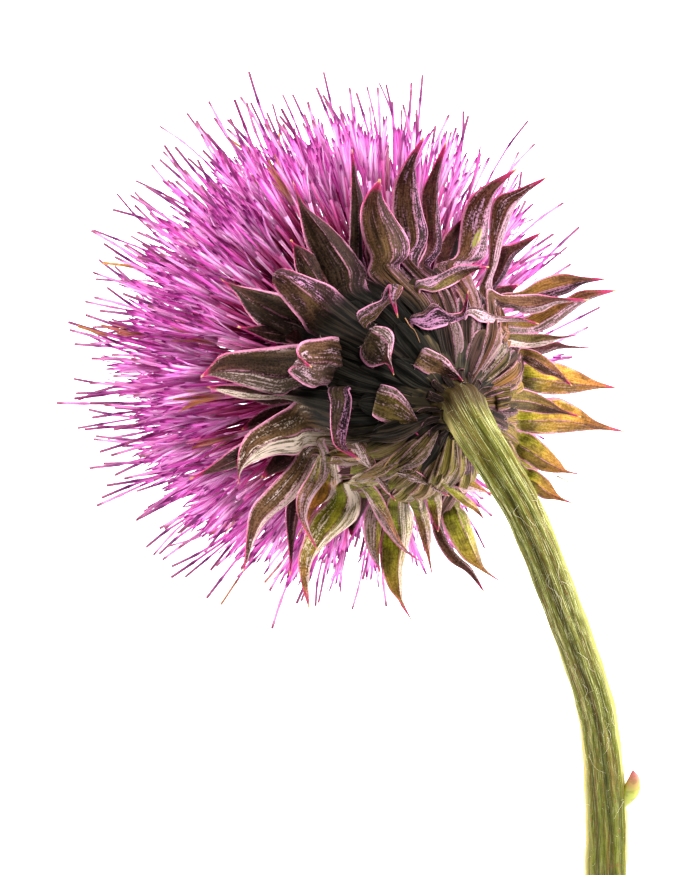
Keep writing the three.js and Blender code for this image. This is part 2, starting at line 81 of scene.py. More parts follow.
def at_height(x, y, z):
    """The point of the picture at a height above the table."""
    scale = PIXEL_SIZE * (HEAD_LEVEL + VIEW_DISTANCE - z) / VIEW_DISTANCE
    return np.array([(x - PHOTO_MIDDLE[0]) * scale, (PHOTO_MIDDLE[1] - y) * scale, z])


ORIGIN = at_height(*TABLE_ORIGIN, HEAD_LEVEL) * [1, 1, 0]
print("the table's origin lies at", ORIGIN, "from the picture's middle")

# %% [markdown]
# A flower head is round about its own axis, so its parts are easiest to place by radius, angle
# and depth from the joint with the stem. The axis leans, because the head nods.

# %% The head's own frame
HEAD_TILT = math.radians(35)
HEAD_HEADING = math.radians(156.1)
JOINT = at_height(455, 405, 48)
AXIS = np.array([
    math.sin(HEAD_TILT) * math.cos(HEAD_HEADING),
    math.sin(HEAD_TILT) * math.sin(HEAD_HEADING),
    -math.cos(HEAD_TILT),
])
EYE = np.array([0, 0, HEAD_LEVEL + VIEW_DISTANCE])


def unit(vectors):
    """The same directions, each one long."""
    vectors = np.asarray(vectors, float)
    return vectors / np.maximum(np.linalg.norm(vectors, axis=-1, keepdims=True), 1e-12)


def flattened(vectors, normals):
    """What is left of the vectors at right angles to the normals."""
    return vectors - np.sum(vectors * normals, axis=-1, keepdims=True) * normals


SIDEWAYS = unit(flattened(np.array([0, 0, -1.0]), AXIS))
ACROSS = np.cross(AXIS, SIDEWAYS)


def on_head(radius, angle, depth):
    """Points round the head's axis."""
    radius, angle, depth = np.broadcast_arrays(radius, angle, depth)
    return (
        JOINT
        + depth[..., None] * AXIS
        + (radius * np.cos(angle))[..., None] * SIDEWAYS
        + (radius * np.sin(angle))[..., None] * ACROSS
    )


def round_way(angle):
    """Which way it goes round the axis at an angle."""
    return on_head(1, angle + math.pi / 2, 0) - JOINT


def steps_round(sides):
    """Equal steps round a circle."""
    return np.linspace(0, math.tau, sides, endpoint=False)


def head_place(point):
    """Radius, angle and depth of a point."""
    way = point - JOINT
    x, y = way @ SIDEWAYS, way @ ACROSS
    return math.hypot(x, y), math.atan2(y, x), way @ AXIS


def at_depth(x, y, depth):
    """The point of the picture that lies at a depth along the head."""
    sight = unit(at_height(x, y, HEAD_LEVEL) - EYE)
    reach = ((on_head(0, 0, depth) - EYE) @ AXIS) / (sight @ AXIS)
    return EYE + sight * reach


print("the head's axis", AXIS.round(3))

# %% [markdown]
# Stems, keels and margins all follow smooth lines through a few known points. A Catmull-Rom
# spline passes through each of them, and it is short enough to write here.

# %% Splines
def spline(points, places):
    """Points of a smooth line through the given ones, at places from 0 to 1."""
    points = np.asarray(points, float)
    padded = np.vstack([2 * points[0] - points[1], points, 2 * points[-1] - points[-2]])
    at = np.clip(np.asarray(places, float), 0, 1) * (len(points) - 1)
    i = np.minimum(at.astype(int), len(points) - 2)
    t = (at - i)[:, None]
    a, b, c, d = (padded[i + k] for k in range(4))
    m, n = (c - a) / 2, (d - b) / 2
    return b + t * (m + t * (3 * (c - b) - 2 * m - n + t * (2 * (b - c) + m + n)))


def directions(path):
    """Which way a sampled line runs at each of its points."""
    return unit(np.gradient(path, axis=0))


def through(table, values):
    """A smooth curve through pairs of numbers, read at the given values."""
    xs, ys = np.array(table, float).T
    slopes = np.gradient(ys, xs)
    i = np.clip(np.searchsorted(xs, values) - 1, 0, len(xs) - 2)
    h = xs[i + 1] - xs[i]
    t = np.clip((values - xs[i]) / h, 0, 1)
    return (
        (2 * t**3 - 3 * t**2 + 1) * ys[i]
        + (t**3 - 2 * t**2 + t) * h * slopes[i]
        + (3 * t**2 - 2 * t**3) * ys[i + 1]
        + (t**3 - t**2) * h * slopes[i + 1]
    )


print("halfway between 0, 1 and 4 a spline is at", spline([[0], [1], [4]], [0.5])[0, 0])

# %% [markdown]
# ## Camera and light
# The flower lies on a bright, plain table and is seen from straight above. A long lens keeps the
# perspective as slight as the picture's. The camera comes first, and the lamps follow when there
# are helpers for the table's material.

# %% Camera
SENSOR = 36
PICTURE_HEIGHT = 875

eye_data = bpy.data.cameras.new("eye")
eye_data.sensor_width = SENSOR
eye_data.lens = SENSOR * VIEW_DISTANCE / (PICTURE_HEIGHT * PIXEL_SIZE)
eye = bpy.data.objects.new("eye", eye_data)
eye.location = (EYE - ORIGIN) * MILLIMETRE
bpy.context.scene.collection.objects.link(eye)
bpy.context.scene.camera = eye
print("lens", round(eye_data.lens, 1), "mm, eye at", list(eye.location))

# %% [markdown]
# ## Nodes in words
# A material or a geometry tree is a net of nodes. The small class below wraps one socket, so that
# sums are written as sums and each operator adds its Math node.

# %% Wires
class Wire:
    """A socket's output that can be used in sums."""

    def __init__(self, bench, socket):
        self.bench = bench
        self.socket = socket

    def other(self, name):
        """Another output of the same node."""
        return Wire(self.bench, self.socket.node.outputs[name])

    def __add__(self, value):
        return self.bench.sum("ADD", self, value)

    def __sub__(self, value):
        return self.bench.sum("SUBTRACT", self, value)

    def __rsub__(self, value):
        return self.bench.sum("SUBTRACT", value, self)

    def __mul__(self, value):
        return self.bench.sum("MULTIPLY", self, value)

    def __truediv__(self, value):
        return self.bench.sum("DIVIDE", self, value)

    def __abs__(self):
        return self.bench.sum("ABSOLUTE", self)

    __radd__ = __add__
    __rmul__ = __mul__


print("wires ready")

# %% [markdown]
# All other nodes come from one method of the bench, which takes a node's settings and sockets.
# The methods after it only name what is used often. Colours are given as on a screen, from 0 to
# 255.

# %% Bench
def shade(red, green, blue):
    """A screen colour, given from 0 to 255, as the linear colour that Blender mixes."""
    steps = np.array([red, green, blue]) / 255
    linear = np.where(steps <= 0.04045, steps / 12.92, ((steps + 0.055) / 1.055) ** 2.4)
    return (*linear.tolist(), 1.0)


class Bench:
    """A node tree while it is being built."""

    def __init__(self, tree, material=None):
        self.tree = tree
        self.material = material

    def node(self, kind, settings=None, sockets=None, output=0):
        """Adds a node: its settings first, then the values or links of its sockets."""
        made = self.tree.nodes.new(kind)
        for name, value in (settings or {}).items():
            if name == "stops":
                self.set_stops(made.color_ramp.elements, value)
            else:
                setattr(made, name, value)
        for name, value in (sockets or {}).items():
            if isinstance(value, Wire):
                self.tree.links.new(value.socket, made.inputs[name])
            else:
                made.inputs[name].default_value = value
        return Wire(self, made.outputs[output]) if made.outputs else made

    def set_stops(self, elements, stops):
        """Gives a colour ramp its stops, in screen colours."""
        while len(elements) < len(stops):
            elements.new(1)
        for element, (position, colour) in zip(elements, stops):
            element.position = position
            element.color = shade(*colour)

    def sum(self, operation, *values):
        """One Math node."""
        return self.node("ShaderNodeMath", {"operation": operation}, dict(enumerate(values)))

    def vectors(self, operation, *values):
        """One Vector Math node."""
        return self.node("ShaderNodeVectorMath", {"operation": operation}, dict(enumerate(values)))

    def vector(self, x, y, z):
        """A vector from its three numbers."""
        return self.node("ShaderNodeCombineXYZ", None, {0: x, 1: y, 2: z})

    def parts(self, vector):
        """A vector's three numbers."""
        x = self.node("ShaderNodeSeparateXYZ", None, {0: vector})
        return x, x.other("Y"), x.other("Z")

    def between(self, value, low, high, start=0, end=1):
        """A smooth step from start to end, as the value goes from low to high."""
        sockets = dict(enumerate((value, low, high, start, end)))
        return self.node("ShaderNodeMapRange", {"interpolation_type": "SMOOTHSTEP"}, sockets)

    def colour(self, value):
        """A colour for a socket, from a wire or a screen colour."""
        return value if isinstance(value, Wire) else shade(*value)

    def mix(self, share, first, second):
        """A blend of two colours."""
        sockets = {0: share, 6: self.colour(first), 7: self.colour(second)}
        return self.node("ShaderNodeMix", {"data_type": "RGBA"}, sockets, output=2)

    def coats(self, colour, *layers):
        """Lays colours over the first one, each with its share."""
        for share, over in layers:
            colour = self.mix(share, colour, over)
        return colour

    def ramp(self, place, stops):
        """A colour read from a scale of screen colours."""
        return self.node("ShaderNodeValToRGB", {"stops": stops}, {0: place})

    def noise(self, place, scale=1, detail=2, roughness=0.5):
        """Soft noise between about 0.3 and 0.7."""
        sockets = {"Vector": place, "Scale": scale, "Detail": detail, "Roughness": roughness}
        return self.node("ShaderNodeTexNoise", None, sockets)

    def attribute(self, name, output="Fac"):
        """An attribute that the mesh carries."""
        return self.node("ShaderNodeAttribute", {"attribute_name": name}, output=output)

    def millimetres(self):
        """The piece's own coordinates, counted in millimetres."""
        own = self.node("ShaderNodeTexCoord", output="Object")
        sockets = {"Vector": own, "Scale": [1 / MILLIMETRE] * 3}
        return self.node("ShaderNodeMapping", None, sockets)

    def bump(self, height, strength, distance=0.0002):
        """Relief from a height, with its distance in metres."""
        sockets = {"Strength": strength, "Distance": distance, "Height": height}
        return self.node("ShaderNodeBump", None, sockets)


print("bench ready")

# %% [markdown]
# Most finishes here are thin and let light through. A Translucent shader does that, so each
# material ends in a Principled shader with a share of Translucent mixed in. The short helpers
# below begin and end a material in that way.

# %% Material helpers
def new_material(name):
    """The bench of an empty material."""
    material = bpy.data.materials.new(name)
    material.use_nodes = True
    material.node_tree.nodes.clear()
    return Bench(material.node_tree, material)


def finish_material(bench, colour, roughness, shine=0.5, glow=0, more=None):
    """Ends a material in its shader. The glow is the share of light that shines through."""
    colour = bench.colour(colour)
    sockets = {"Base Color": colour, "Roughness": roughness, "Specular IOR Level": shine}
    surface = bench.node("ShaderNodeBsdfPrincipled", None, {**sockets, **(more or {})})
    if glow:
        behind = bench.node("ShaderNodeBsdfTranslucent", None, {"Color": colour})
        surface = bench.node("ShaderNodeMixShader", None, {0: glow, 1: surface, 2: behind})
    bench.node("ShaderNodeOutputMaterial", None, {"Surface": surface})
    return bench.material


print("material helpers ready")

# %% [markdown]
# The photograph's ground is plain white. A white table that glows a little gives that without any
# picture, and it sends light up through the petals as well. The lamps are soft squares: one
# window above, one at the side for the stem's rim, and three low ones that lift the flower's
# edges.

# %% Table, sky and lamps
SKY = 0.34
TABLE_GLOW = {"Emission Color": (1, 1, 1, 1), "Emission Strength": 1.6}
TABLE_HALF = 3.0
TABLE_DROP = 0.00005  # keeps it clear of the flower's lowest points
LAMP_AIM = (0, 0, 0.03)
LAMPS = {
    # place, size and power in metres and watts
    "window": ((0.26, 0.46, 0.52), 0.24, 6.4),
    "side_glow": ((0.52, -0.04, 0.14), 0.25, 4.2),
    "left_glow": ((-0.34, 0.03, 0.015), 0.12, 3.4),
    "far_glow": ((-0.06, 0.40, 0.015), 0.12, 1.2),
    "near_glow": ((-0.12, -0.40, 0.015), 0.12, 1.2),
}

scene = bpy.context.scene
scene.view_settings.view_transform = "Standard"
scene.view_settings.look = "Medium High Contrast"
sky = bpy.data.worlds.new("soft_sky")
sky.use_nodes = True
sky.node_tree.nodes["Background"].inputs["Color"].default_value = (1, 1, 1, 1)
sky.node_tree.nodes["Background"].inputs["Strength"].default_value = SKY
scene.world = sky

table_corners = [
    (x * TABLE_HALF, y * TABLE_HALF, -TABLE_DROP) for x, y in ((-1, -1), (1, -1), (1, 1), (-1, 1))
]
table_mesh = bpy.data.meshes.new("table")
table_mesh.from_pydata(table_corners, [], [(0, 1, 2, 3)])
table_material = finish_material(new_material("white_table"), (250, 250, 250), 0.9, more=TABLE_GLOW)
table_mesh.materials.append(table_material)
table = bpy.data.objects.new("table", table_mesh)
scene.collection.objects.link(table)

for name, (place, size, power) in LAMPS.items():
    lamp_data = bpy.data.lights.new(name, "AREA")
    lamp_data.size = size
    lamp_data.energy = power
    lamp = bpy.data.objects.new(name, lamp_data)
    lamp.location = place
    lamp.rotation_mode = "QUATERNION"
    lamp.rotation_quaternion = Vector(np.array(LAMP_AIM) - place).to_track_quat("-Z", "Y")
    scene.collection.objects.link(lamp)
print("table, sky and", len(LAMPS), "lamps")

# %% [markdown]
# ## From rows of points to a mesh
# Stem, cup and bracts are all skins over rings of points. The helper below joins neighbouring
# rings, closes both ends, and turns the faces outwards by the sign of the volume.

# %% Skins
def skin(rings):
    """Faces over rings of equally many points, closed at both ends."""
    count, size = rings.shape[:2]
    start = (np.arange(count - 1) * size)[:, None]
    i = np.arange(size)[None, :]
    j = (i + 1) % size
    sides = np.stack([start + i, start + j, start + size + j, start + size + i], -1).reshape(-1, 4)
    first = list(range(size))[::-1]
    last = list(range((count - 1) * size, count * size))
    faces = [first, *sides.tolist(), last]
    points = rings.reshape(-1, 3)
    a, b, c, d = (points[sides[:, k]] for k in range(4))
    volume = np.sum(np.cross(b - a, c - a) * a) + np.sum(np.cross(c - a, d - a) * a)
    centre = points.mean(0)
    volume -= np.sum(np.cross(b - a, c - a) @ centre) + np.sum(np.cross(c - a, d - a) @ centre)
    if volume < 0:
        faces = [face[::-1] for face in faces]
    return faces


print("skins ready")

# %% [markdown]
# Many skins can share one mesh, so they are heaped up before the mesh is made. What varies over a
# surface, such as how far along a bract a point lies, is kept in the mesh as an attribute for the
# material to read.

# %% Meshes
class Heap:
    """Skins that become one mesh, with their attributes."""

    def __init__(self):
        self.points = []
        self.faces = []
        self.notes = {}
        self.count = 0

    def add(self, rings, **notes):
        """Adds one skin. A note is one value for the whole skin or one for each point."""
        points = rings.reshape(-1, 3)
        self.faces += [[n + self.count for n in face] for face in skin(rings)]
        self.points.append(points)
        self.count += len(points)
        for name, value in notes.items():
            value = np.asarray(value, float)
            if value.size >= len(points):
                value = value.reshape(len(points), -1)
            value = np.broadcast_to(value, (len(points), value.shape[-1]))
            self.notes.setdefault(name, []).append(value)

    def piece(self, name, material=None, origin=ORIGIN):
        """The finished object, in metres, with its place in its mesh."""
        points = (np.vstack(self.points) - origin) * MILLIMETRE
        notes = {note: np.vstack(values) for note, values in self.notes.items()}
        return new_piece(name, points, self.faces, material, notes)


def new_piece(name, points, faces, material, notes):
    """An object from points in metres, faces and attributes."""
    mesh = bpy.data.meshes.new(name)
    mesh.from_pydata(points.tolist(), [], faces)
    mesh.shade_smooth()
    if material:
        mesh.materials.append(material)
    for note, values in notes.items():
        kind, field = {1: ("FLOAT", "value"), 3: ("FLOAT_VECTOR", "vector")}[values.shape[1]]
        layer = mesh.attributes.new(note, kind, "POINT")
        layer.data.foreach_set(field, values.astype(np.float32).ravel())
    made = bpy.data.objects.new(name, mesh)
    scene.collection.objects.link(made)
    return made


def report(*pieces):
    """Prints how many triangles each piece has."""
    for piece in pieces:
        piece.data.calc_loop_triangles()
        print(piece.name, len(piece.data.loop_triangles), "triangles")


SEED = 20813
draw = np.random.default_rng(SEED)
print("mesh helpers ready, seed", SEED)

# %% [markdown]
# ## Cup
# Under the florets sits the receptacle, a fleshy cup as dark as old leather where the bracts
# shade it. A lathe or a Screw modifier could turn it. It is skinned from rings here, because its
# ribs swell and fade along the depth, and the bracts need the same profile to sit on.

# %% Cup profile
CUP_PROFILE = [
    # radius, depth along the head from the joint
    (2.6, -0.35),
    (3.4, 0),
    (6.2, 0.5),
    (9.2, 1.9),
    (11.7, 4.2),
    (13.5, 7.4),
    (14.4, 11.0),
    (14.3, 14.2),
    (13.6, 16.6),
]
CUP_DEPTH = 16
CUP_POINTS = spline(CUP_PROFILE, np.linspace(0, 1, 64))


def lengths_along(path):
    """How far along a line each of its points lies."""
    return np.concatenate([[0], np.cumsum(np.linalg.norm(np.diff(path, axis=0), axis=1))])


CUP_ARC = lengths_along(CUP_POINTS)


def cup_at_arc(arc):
    """Radius and depth of the cup's wall, at a length along it from the joint."""
    return np.interp(arc, CUP_ARC, CUP_POINTS[:, 0]), np.interp(arc, CUP_ARC, CUP_POINTS[:, 1])


def arc_at_depth(depth):
    """The length along the wall where it reaches a depth."""
    return np.interp(depth, CUP_POINTS[:, 1], CUP_ARC)


def cup_radius(depth):
    """The wall's radius at a depth."""
    return np.interp(depth, CUP_POINTS[:, 1], CUP_POINTS[:, 0])


print("cup wall", round(CUP_ARC[-1], 1), "mm long")

# %% [markdown]
# The cup's skin is nearly black green, with worn grey-green ridges. Noise that is stretched along
# the head makes the streaks, and a bump gives them relief.

# %% Cup skin and material
CUP_STEPS = 40
CUP_SIDES = 104
CUP_RIBS = 26
CUP_RIB_HEIGHT = 0.16
CUP_TOP_RADII = (11.0, 5.0, 0.4)
STREAKS_ROUND, STREAKS_ALONG = 22, 0.12  # how fine they are


def cup_rings(turn):
    """The wall's rings, then the flat top that the florets stand on."""
    arcs = np.linspace(0, CUP_ARC[-1], CUP_STEPS)
    radii, depths = cup_at_arc(arcs)
    swell = np.sin(math.pi * arcs / arcs[-1])[:, None]
    ribs = CUP_RIB_HEIGHT * swell * np.cos(CUP_RIBS * turn + 0.6 * np.sin(3 * turn))
    wall = on_head(radii[:, None] + ribs, turn, depths[:, None])
    top = on_head(np.array(CUP_TOP_RADII)[:, None], turn, depths[-1])
    return np.concatenate([wall, top])


def cup_material():
    """Dark streaked rind."""
    bench = new_material("cup_rind")
    streaks = bench.noise(bench.attribute("rind", "Vector"), 1, 4)
    patches = bench.noise(bench.millimetres(), 0.35)
    dark = bench.mix(bench.between(patches, 0.4, 0.6), (20, 18, 15), (50, 44, 33))
    colour = bench.mix(bench.between(streaks, 0.5, 0.72) * 0.5, dark, (110, 94, 68))
    return finish_material(bench, colour, 0.62, 0.1, more={"Normal": bench.bump(streaks, 0.5)})


turn = steps_round(CUP_SIDES)
rings = cup_rings(turn)
level = np.arange(len(rings))[:, None]
rind = [np.cos(turn) * STREAKS_ROUND, np.sin(turn) * STREAKS_ROUND, level * STREAKS_ALONG]
cup_heap = Heap()
cup_heap.add(rings, rind=np.stack(np.broadcast_arrays(*rind), -1))
cup = cup_heap.piece("cup", cup_material())
report(cup)

# %% [markdown]
# ## Bracts
# A bract is a stiff leaf. Its claw lies ribbed against the cup, then it bends outwards into a
# keeled blade, and the keel runs on into a spine. Seven that stand behind the others are placed
# by three points: where the keel leaves the cup, where it bends and where the spine ends, with x
# and y in the picture and then the depth along the head. Width in millimetres, felt and tone
# follow.

# %% Table of the spread bracts
TONES = {
    "dark": (58, 44, 36),
    "brown": (96, 66, 46),
    "russet": (128, 86, 62),
    "umber": (132, 100, 70),
    "tan": (190, 148, 104),
    "olive": (110, 94, 42),
    "ochre": (164, 112, 50),
    "gold": (255, 200, 84),
    "honey": (196, 152, 60),
    "leaf": (130, 106, 38),
    "green": (214, 208, 76),
    "wine": (100, 44, 54),
    # black: painted shade, the tone of the scales on the cup's shaded side
    "black": (24, 23, 20),
    "rose": (86, 60, 56),
    "moss": (178, 154, 104),
}
BRACTS = [
    ("left sliver", [(312, 340, 14), (272, 333, 14.4), (238, 327, 14)], 2.4, 0, "dark"),
    ("upper left dark", [(325, 295, 13.5), (308, 265, 14), (291, 240, 14)], 3.7, 0, "dark"),
    ("right stray", [(520, 462, 11), (538, 480, 10.4), (552, 497, 9.8)], 2.2, 0, "green"),
    ("lower left dark", [(290, 432, 13.5), (240, 457, 13.4), (190, 479, 12.4)], 2.8, 0, "dark"),
    ("lower maroon", [(300, 480, 14.6), (295, 510, 15), (290, 575, 14.6)], 2.2, 0, "wine"),
    ("bottom pale", [(382, 495, 12.6), (374, 540, 13), (380, 572, 12.6)], 2.4, 1, "green"),
    ("behind stem", [(440, 470, 5.4), (462, 484, 5), (492, 494, 5)], 2.6, 1, "green"),
]
print(len(BRACTS), "spread bracts in", len(TONES), "tones at hand")

# %% [markdown]
# A blade could be drawn once and copied, but no two bracts here are alike. Each is a skin between
# three rails, the left margin, the keel and the right margin. Each half bulges a little, the keel
# stands up as a rib, and front and back meet in a thin rim.

# %% Blades between three rails
HALF_STEPS = np.array([0, 0.08, 0.2, 0.34, 0.48, 0.62, 0.76, 0.88, 0.96, 1])
ACROSS_STEPS = np.concatenate([-HALF_STEPS[:0:-1], HALF_STEPS])
RIM = 0.24  # share of the thickness that is left near a margin
RIB_WIDTH = 0.1
BACK_BULGE = 0.6
FOLDS_ACROSS = 2


def blade_rings(left, keel, right, normal, thickness, bulge, rib, folds=0.0):
    """Closed cross-sections between the rails, front first and then back."""
    sizes = (np.broadcast_to(size, len(keel)) for size in (thickness, bulge, rib, folds))
    thickness, bulge, rib, folds = (size[:, None, None] for size in sizes)
    u = ACROSS_STEPS[None, :, None]
    side = np.where(u < 0, (left - keel)[:, None], (right - keel)[:, None])
    half = np.linalg.norm(side, axis=2, keepdims=True)
    away = np.abs(u)
    hump = 4 * away * (1 - away) * bulge * half + rib * np.exp(-((u / RIB_WIDTH) ** 2))
    hump = hump + folds * np.cos(FOLDS_ACROSS * math.pi * u)
    thick = thickness * (1 - (1 - RIM) * away**1.5) / 2
    thick = np.where(away > 0.99, 0, thick)
    middle = keel[:, None] + side * away
    front = middle + normal[:, None] * (hump + thick)
    back = middle + normal[:, None] * (hump * BACK_BULGE - thick)
    u_front = np.broadcast_to(ACROSS_STEPS, front.shape[:2])
    rings = np.concatenate([front, back[:, -2:0:-1]], 1)
    return rings, np.concatenate([u_front, u_front[:, -2:0:-1]], 1)


def facing_back(normals):
    """Normals that point to the stem's side of the head, without flips between neighbours."""
    normals = normals.copy()
    if normals[0] @ AXIS > 0:
        normals[0] *= -1
    for k in range(1, len(normals)):
        if normals[k] @ normals[k - 1] < 0:
            normals[k] *= -1
    return normals


print("each blade has", 2 * len(ACROSS_STEPS) - 2, "points a section")

# %% [markdown]
# The material will ask each point where on its bract it lies, which tone the bract has, and
# how much felt it wears. The same number paints shade over the middle of the cup: there the felt
# is faint and the skin is darkened, and on the blades outside it, which stand in the light, it is
# full.

# %% What a blade carries
# Painted shade: within this ellipse round the cup's middle the skin is darkened and the felt fades.
SHADE_MIDDLE = at_height(370, 366, 44)
SHADE_REACH = np.array([10.4, 10.6])
SHADE_START, SHADE_WIDTH = 0.72, 0.5  # as shares of the reach


def daylight(points):
    """From 0 in the painted shade of the cup's middle to 1 outside it."""
    away = np.linalg.norm((points - SHADE_MIDDLE)[..., :2] / SHADE_REACH, axis=-1)
    share = np.clip((away - SHADE_START) / SHADE_WIDTH, 0, 1)
    return share**2 * (3 - 2 * share)


def felt_and_painted_shade(rings, along):
    """How bright the felt is, and how little painted shade lies on the skin: full on the blade, and
    as the painted daylight allows on the claw.
    """
    return 1 - (1 - daylight(rings)) * np.clip(0.7 - along * 2, 0, 1)[:, None]


def add_blade(heap, rings, u, along, tone, felt, cream, strength, **notes):
    """Adds a blade with its place across and along, a seed, its tone and its felt."""
    look = np.broadcast_arrays(felt, cream, strength, u)[:3]
    blade = np.broadcast_arrays(u, along[:, None], draw.uniform(0, 1))
    tint = shade(*TONES[tone])[:3]
    heap.add(rings, blade=np.stack(blade, -1), tint=tint, look=np.stack(look, -1), **notes)


print("felt is shaded within", SHADE_REACH, "mm of the cup's middle")

# %% [markdown]
# All widths follow one outline: narrow at the root, waisted where the bract leaves the cup, full
# on the blade. A claw is laid along the cup's own wall, so that it can't float above it.

# %% Outline and claws
OUTLINE = [
    # place along the blade, below 0 on the claw, and half width as a share of the fullest
    (-1, 0.12),
    (-0.8, 0.5),
    (-0.5, 0.66),
    (-0.15, 0.56),
    (0, 0.62),
    (0.14, 0.88),
    (0.32, 1),
    (0.5, 0.88),
    (0.66, 0.58),
    (0.8, 0.29),
    (0.9, 0.12),
    (1, 0.02),
]
CLAW_LENGTH = 13
LEAST_CLAW_ARC, LEAST_SEAT_ARC = 0.9, 2.4
LEAST_LIFT, MORE_LIFT = 0.22, 0.5  # above the wall, at the cup's edge and towards the stem
CLAW_ROOT_RISE = -0.3
CLAW_RIB_HEIGHT = 0.17


def claw_line(angle, level):
    """Two points of a claw along the cup, and how high above the wall the second one lies."""
    lift = LEAST_LIFT + MORE_LIFT * (1 - max(level, 0) / CUP_DEPTH)
    seat_arc = max(float(arc_at_depth(level)), LEAST_SEAT_ARC)
    start = max(LEAST_CLAW_ARC, seat_arc - CLAW_LENGTH)
    points = []
    for arc, rise in ((start, CLAW_ROOT_RISE), ((start + seat_arc) / 2, lift)):
        radius, depth = cup_at_arc(arc)
        points.append(on_head(radius + rise * 0.6, angle, depth - rise * 0.8))
    return points, lift


def claw_folds(along):
    """How high the claw's ribs are at places along a bract."""
    fading = np.clip(0.5 - along * 2.5, 0, 1)
    return CLAW_RIB_HEIGHT * fading * np.clip((along + 1) * 4, 0, 1)


print("a claw is up to", CLAW_LENGTH, "mm long")

# %% [markdown]
# A spread bract turns from the cup's own sideways at its root to that of its bend. Its margins
# fold back from the keel and wave a little, each with its own phase, and both run out into the
# spine.

# %% Spread bracts
ALONG = np.concatenate([np.linspace(-1, 0, 10, endpoint=False), np.linspace(0, 1, 27) ** 0.92])
LEAST_CLAW_WIDTH = 3
LEAST_HALF_WIDTH = 0.13
BRACT_THICKNESS = 0.62
SPINE_ROUNDNESS = 1.9  # the spine's thickness as a share of its half width
BRACT_FOLD, CLAW_FOLD = 0.32, 0.06
BULGE = 0.1
WAVE = 0.1
MOST_FORESHORTENED = 0.7


def spread_bract(heap, keel, width, felt, tone):
    """One big bract with its claw."""
    seat, bend, tip = (at_depth(*point) for point in keel)
    level = keel[0][2]
    angle = head_place(seat)[1]
    claw, lift = claw_line(angle, level)
    on_cup = on_head(cup_radius(level) + lift - 0.2, angle, level)
    path = spline([*claw, on_cup, bend, tip], (ALONG + 1) / 2)
    along = directions(path)
    gap = (head_place(bend)[1] - angle + math.pi) % math.tau - math.pi
    side = unit(flattened(round_way(angle + gap * np.clip((ALONG + 0.3) / 0.6, 0, 1)), along))
    normal = facing_back(np.cross(side, along))
    flat = np.maximum(MOST_FORESHORTENED, np.hypot(side[:, 0], side[:, 1]))
    full = np.where(ALONG < 0, np.maximum(width, LEAST_CLAW_WIDTH), width)
    half = np.maximum(LEAST_HALF_WIDTH, through(OUTLINE, ALONG) * full / 2 / flat)[:, None]
    on_blade = np.clip(ALONG * 4, 0, 1)[:, None]
    fold = (CLAW_FOLD + (BRACT_FOLD - CLAW_FOLD) * on_blade) * half
    margins = []
    for way, pace, phase in zip((-1, 1), (9, 8), draw.uniform(0, math.tau, 2)):
        wave = WAVE * half * on_blade * np.sin(ALONG * pace + phase)[:, None]
        margins.append(path + way * side * half - normal * (fold + wave))
    spine = np.clip((ALONG - 0.84) / 0.12, 0, 1)
    thickness = BRACT_THICKNESS * (1 - spine) + spine * SPINE_ROUNDNESS * half[:, 0]
    rib = 0.14 * (1 - spine) * half[:, 0] / 2
    bulge = BULGE * (1 - spine)
    folds = claw_folds(ALONG)
    rings, u = blade_rings(margins[0], path, margins[1], normal, thickness, bulge, rib, folds)
    strength = felt_and_painted_shade(rings, ALONG)
    add_blade(heap, rings, u, ALONG, tone, felt, 0.4, strength, streaks=[0.2])


bract_heap = Heap()
for _, *row in BRACTS:
    spread_bract(bract_heap, *row)
print(bract_heap.count, "points so far")

# %% [markdown]
# The bracts in front are the flower's face, and each bends and folds its own way. For these, both
# margins and the keel are given, station by station from the waist to the last one before the
# spine. They follow in four tables: above the cup, on the right, on the left, and below.

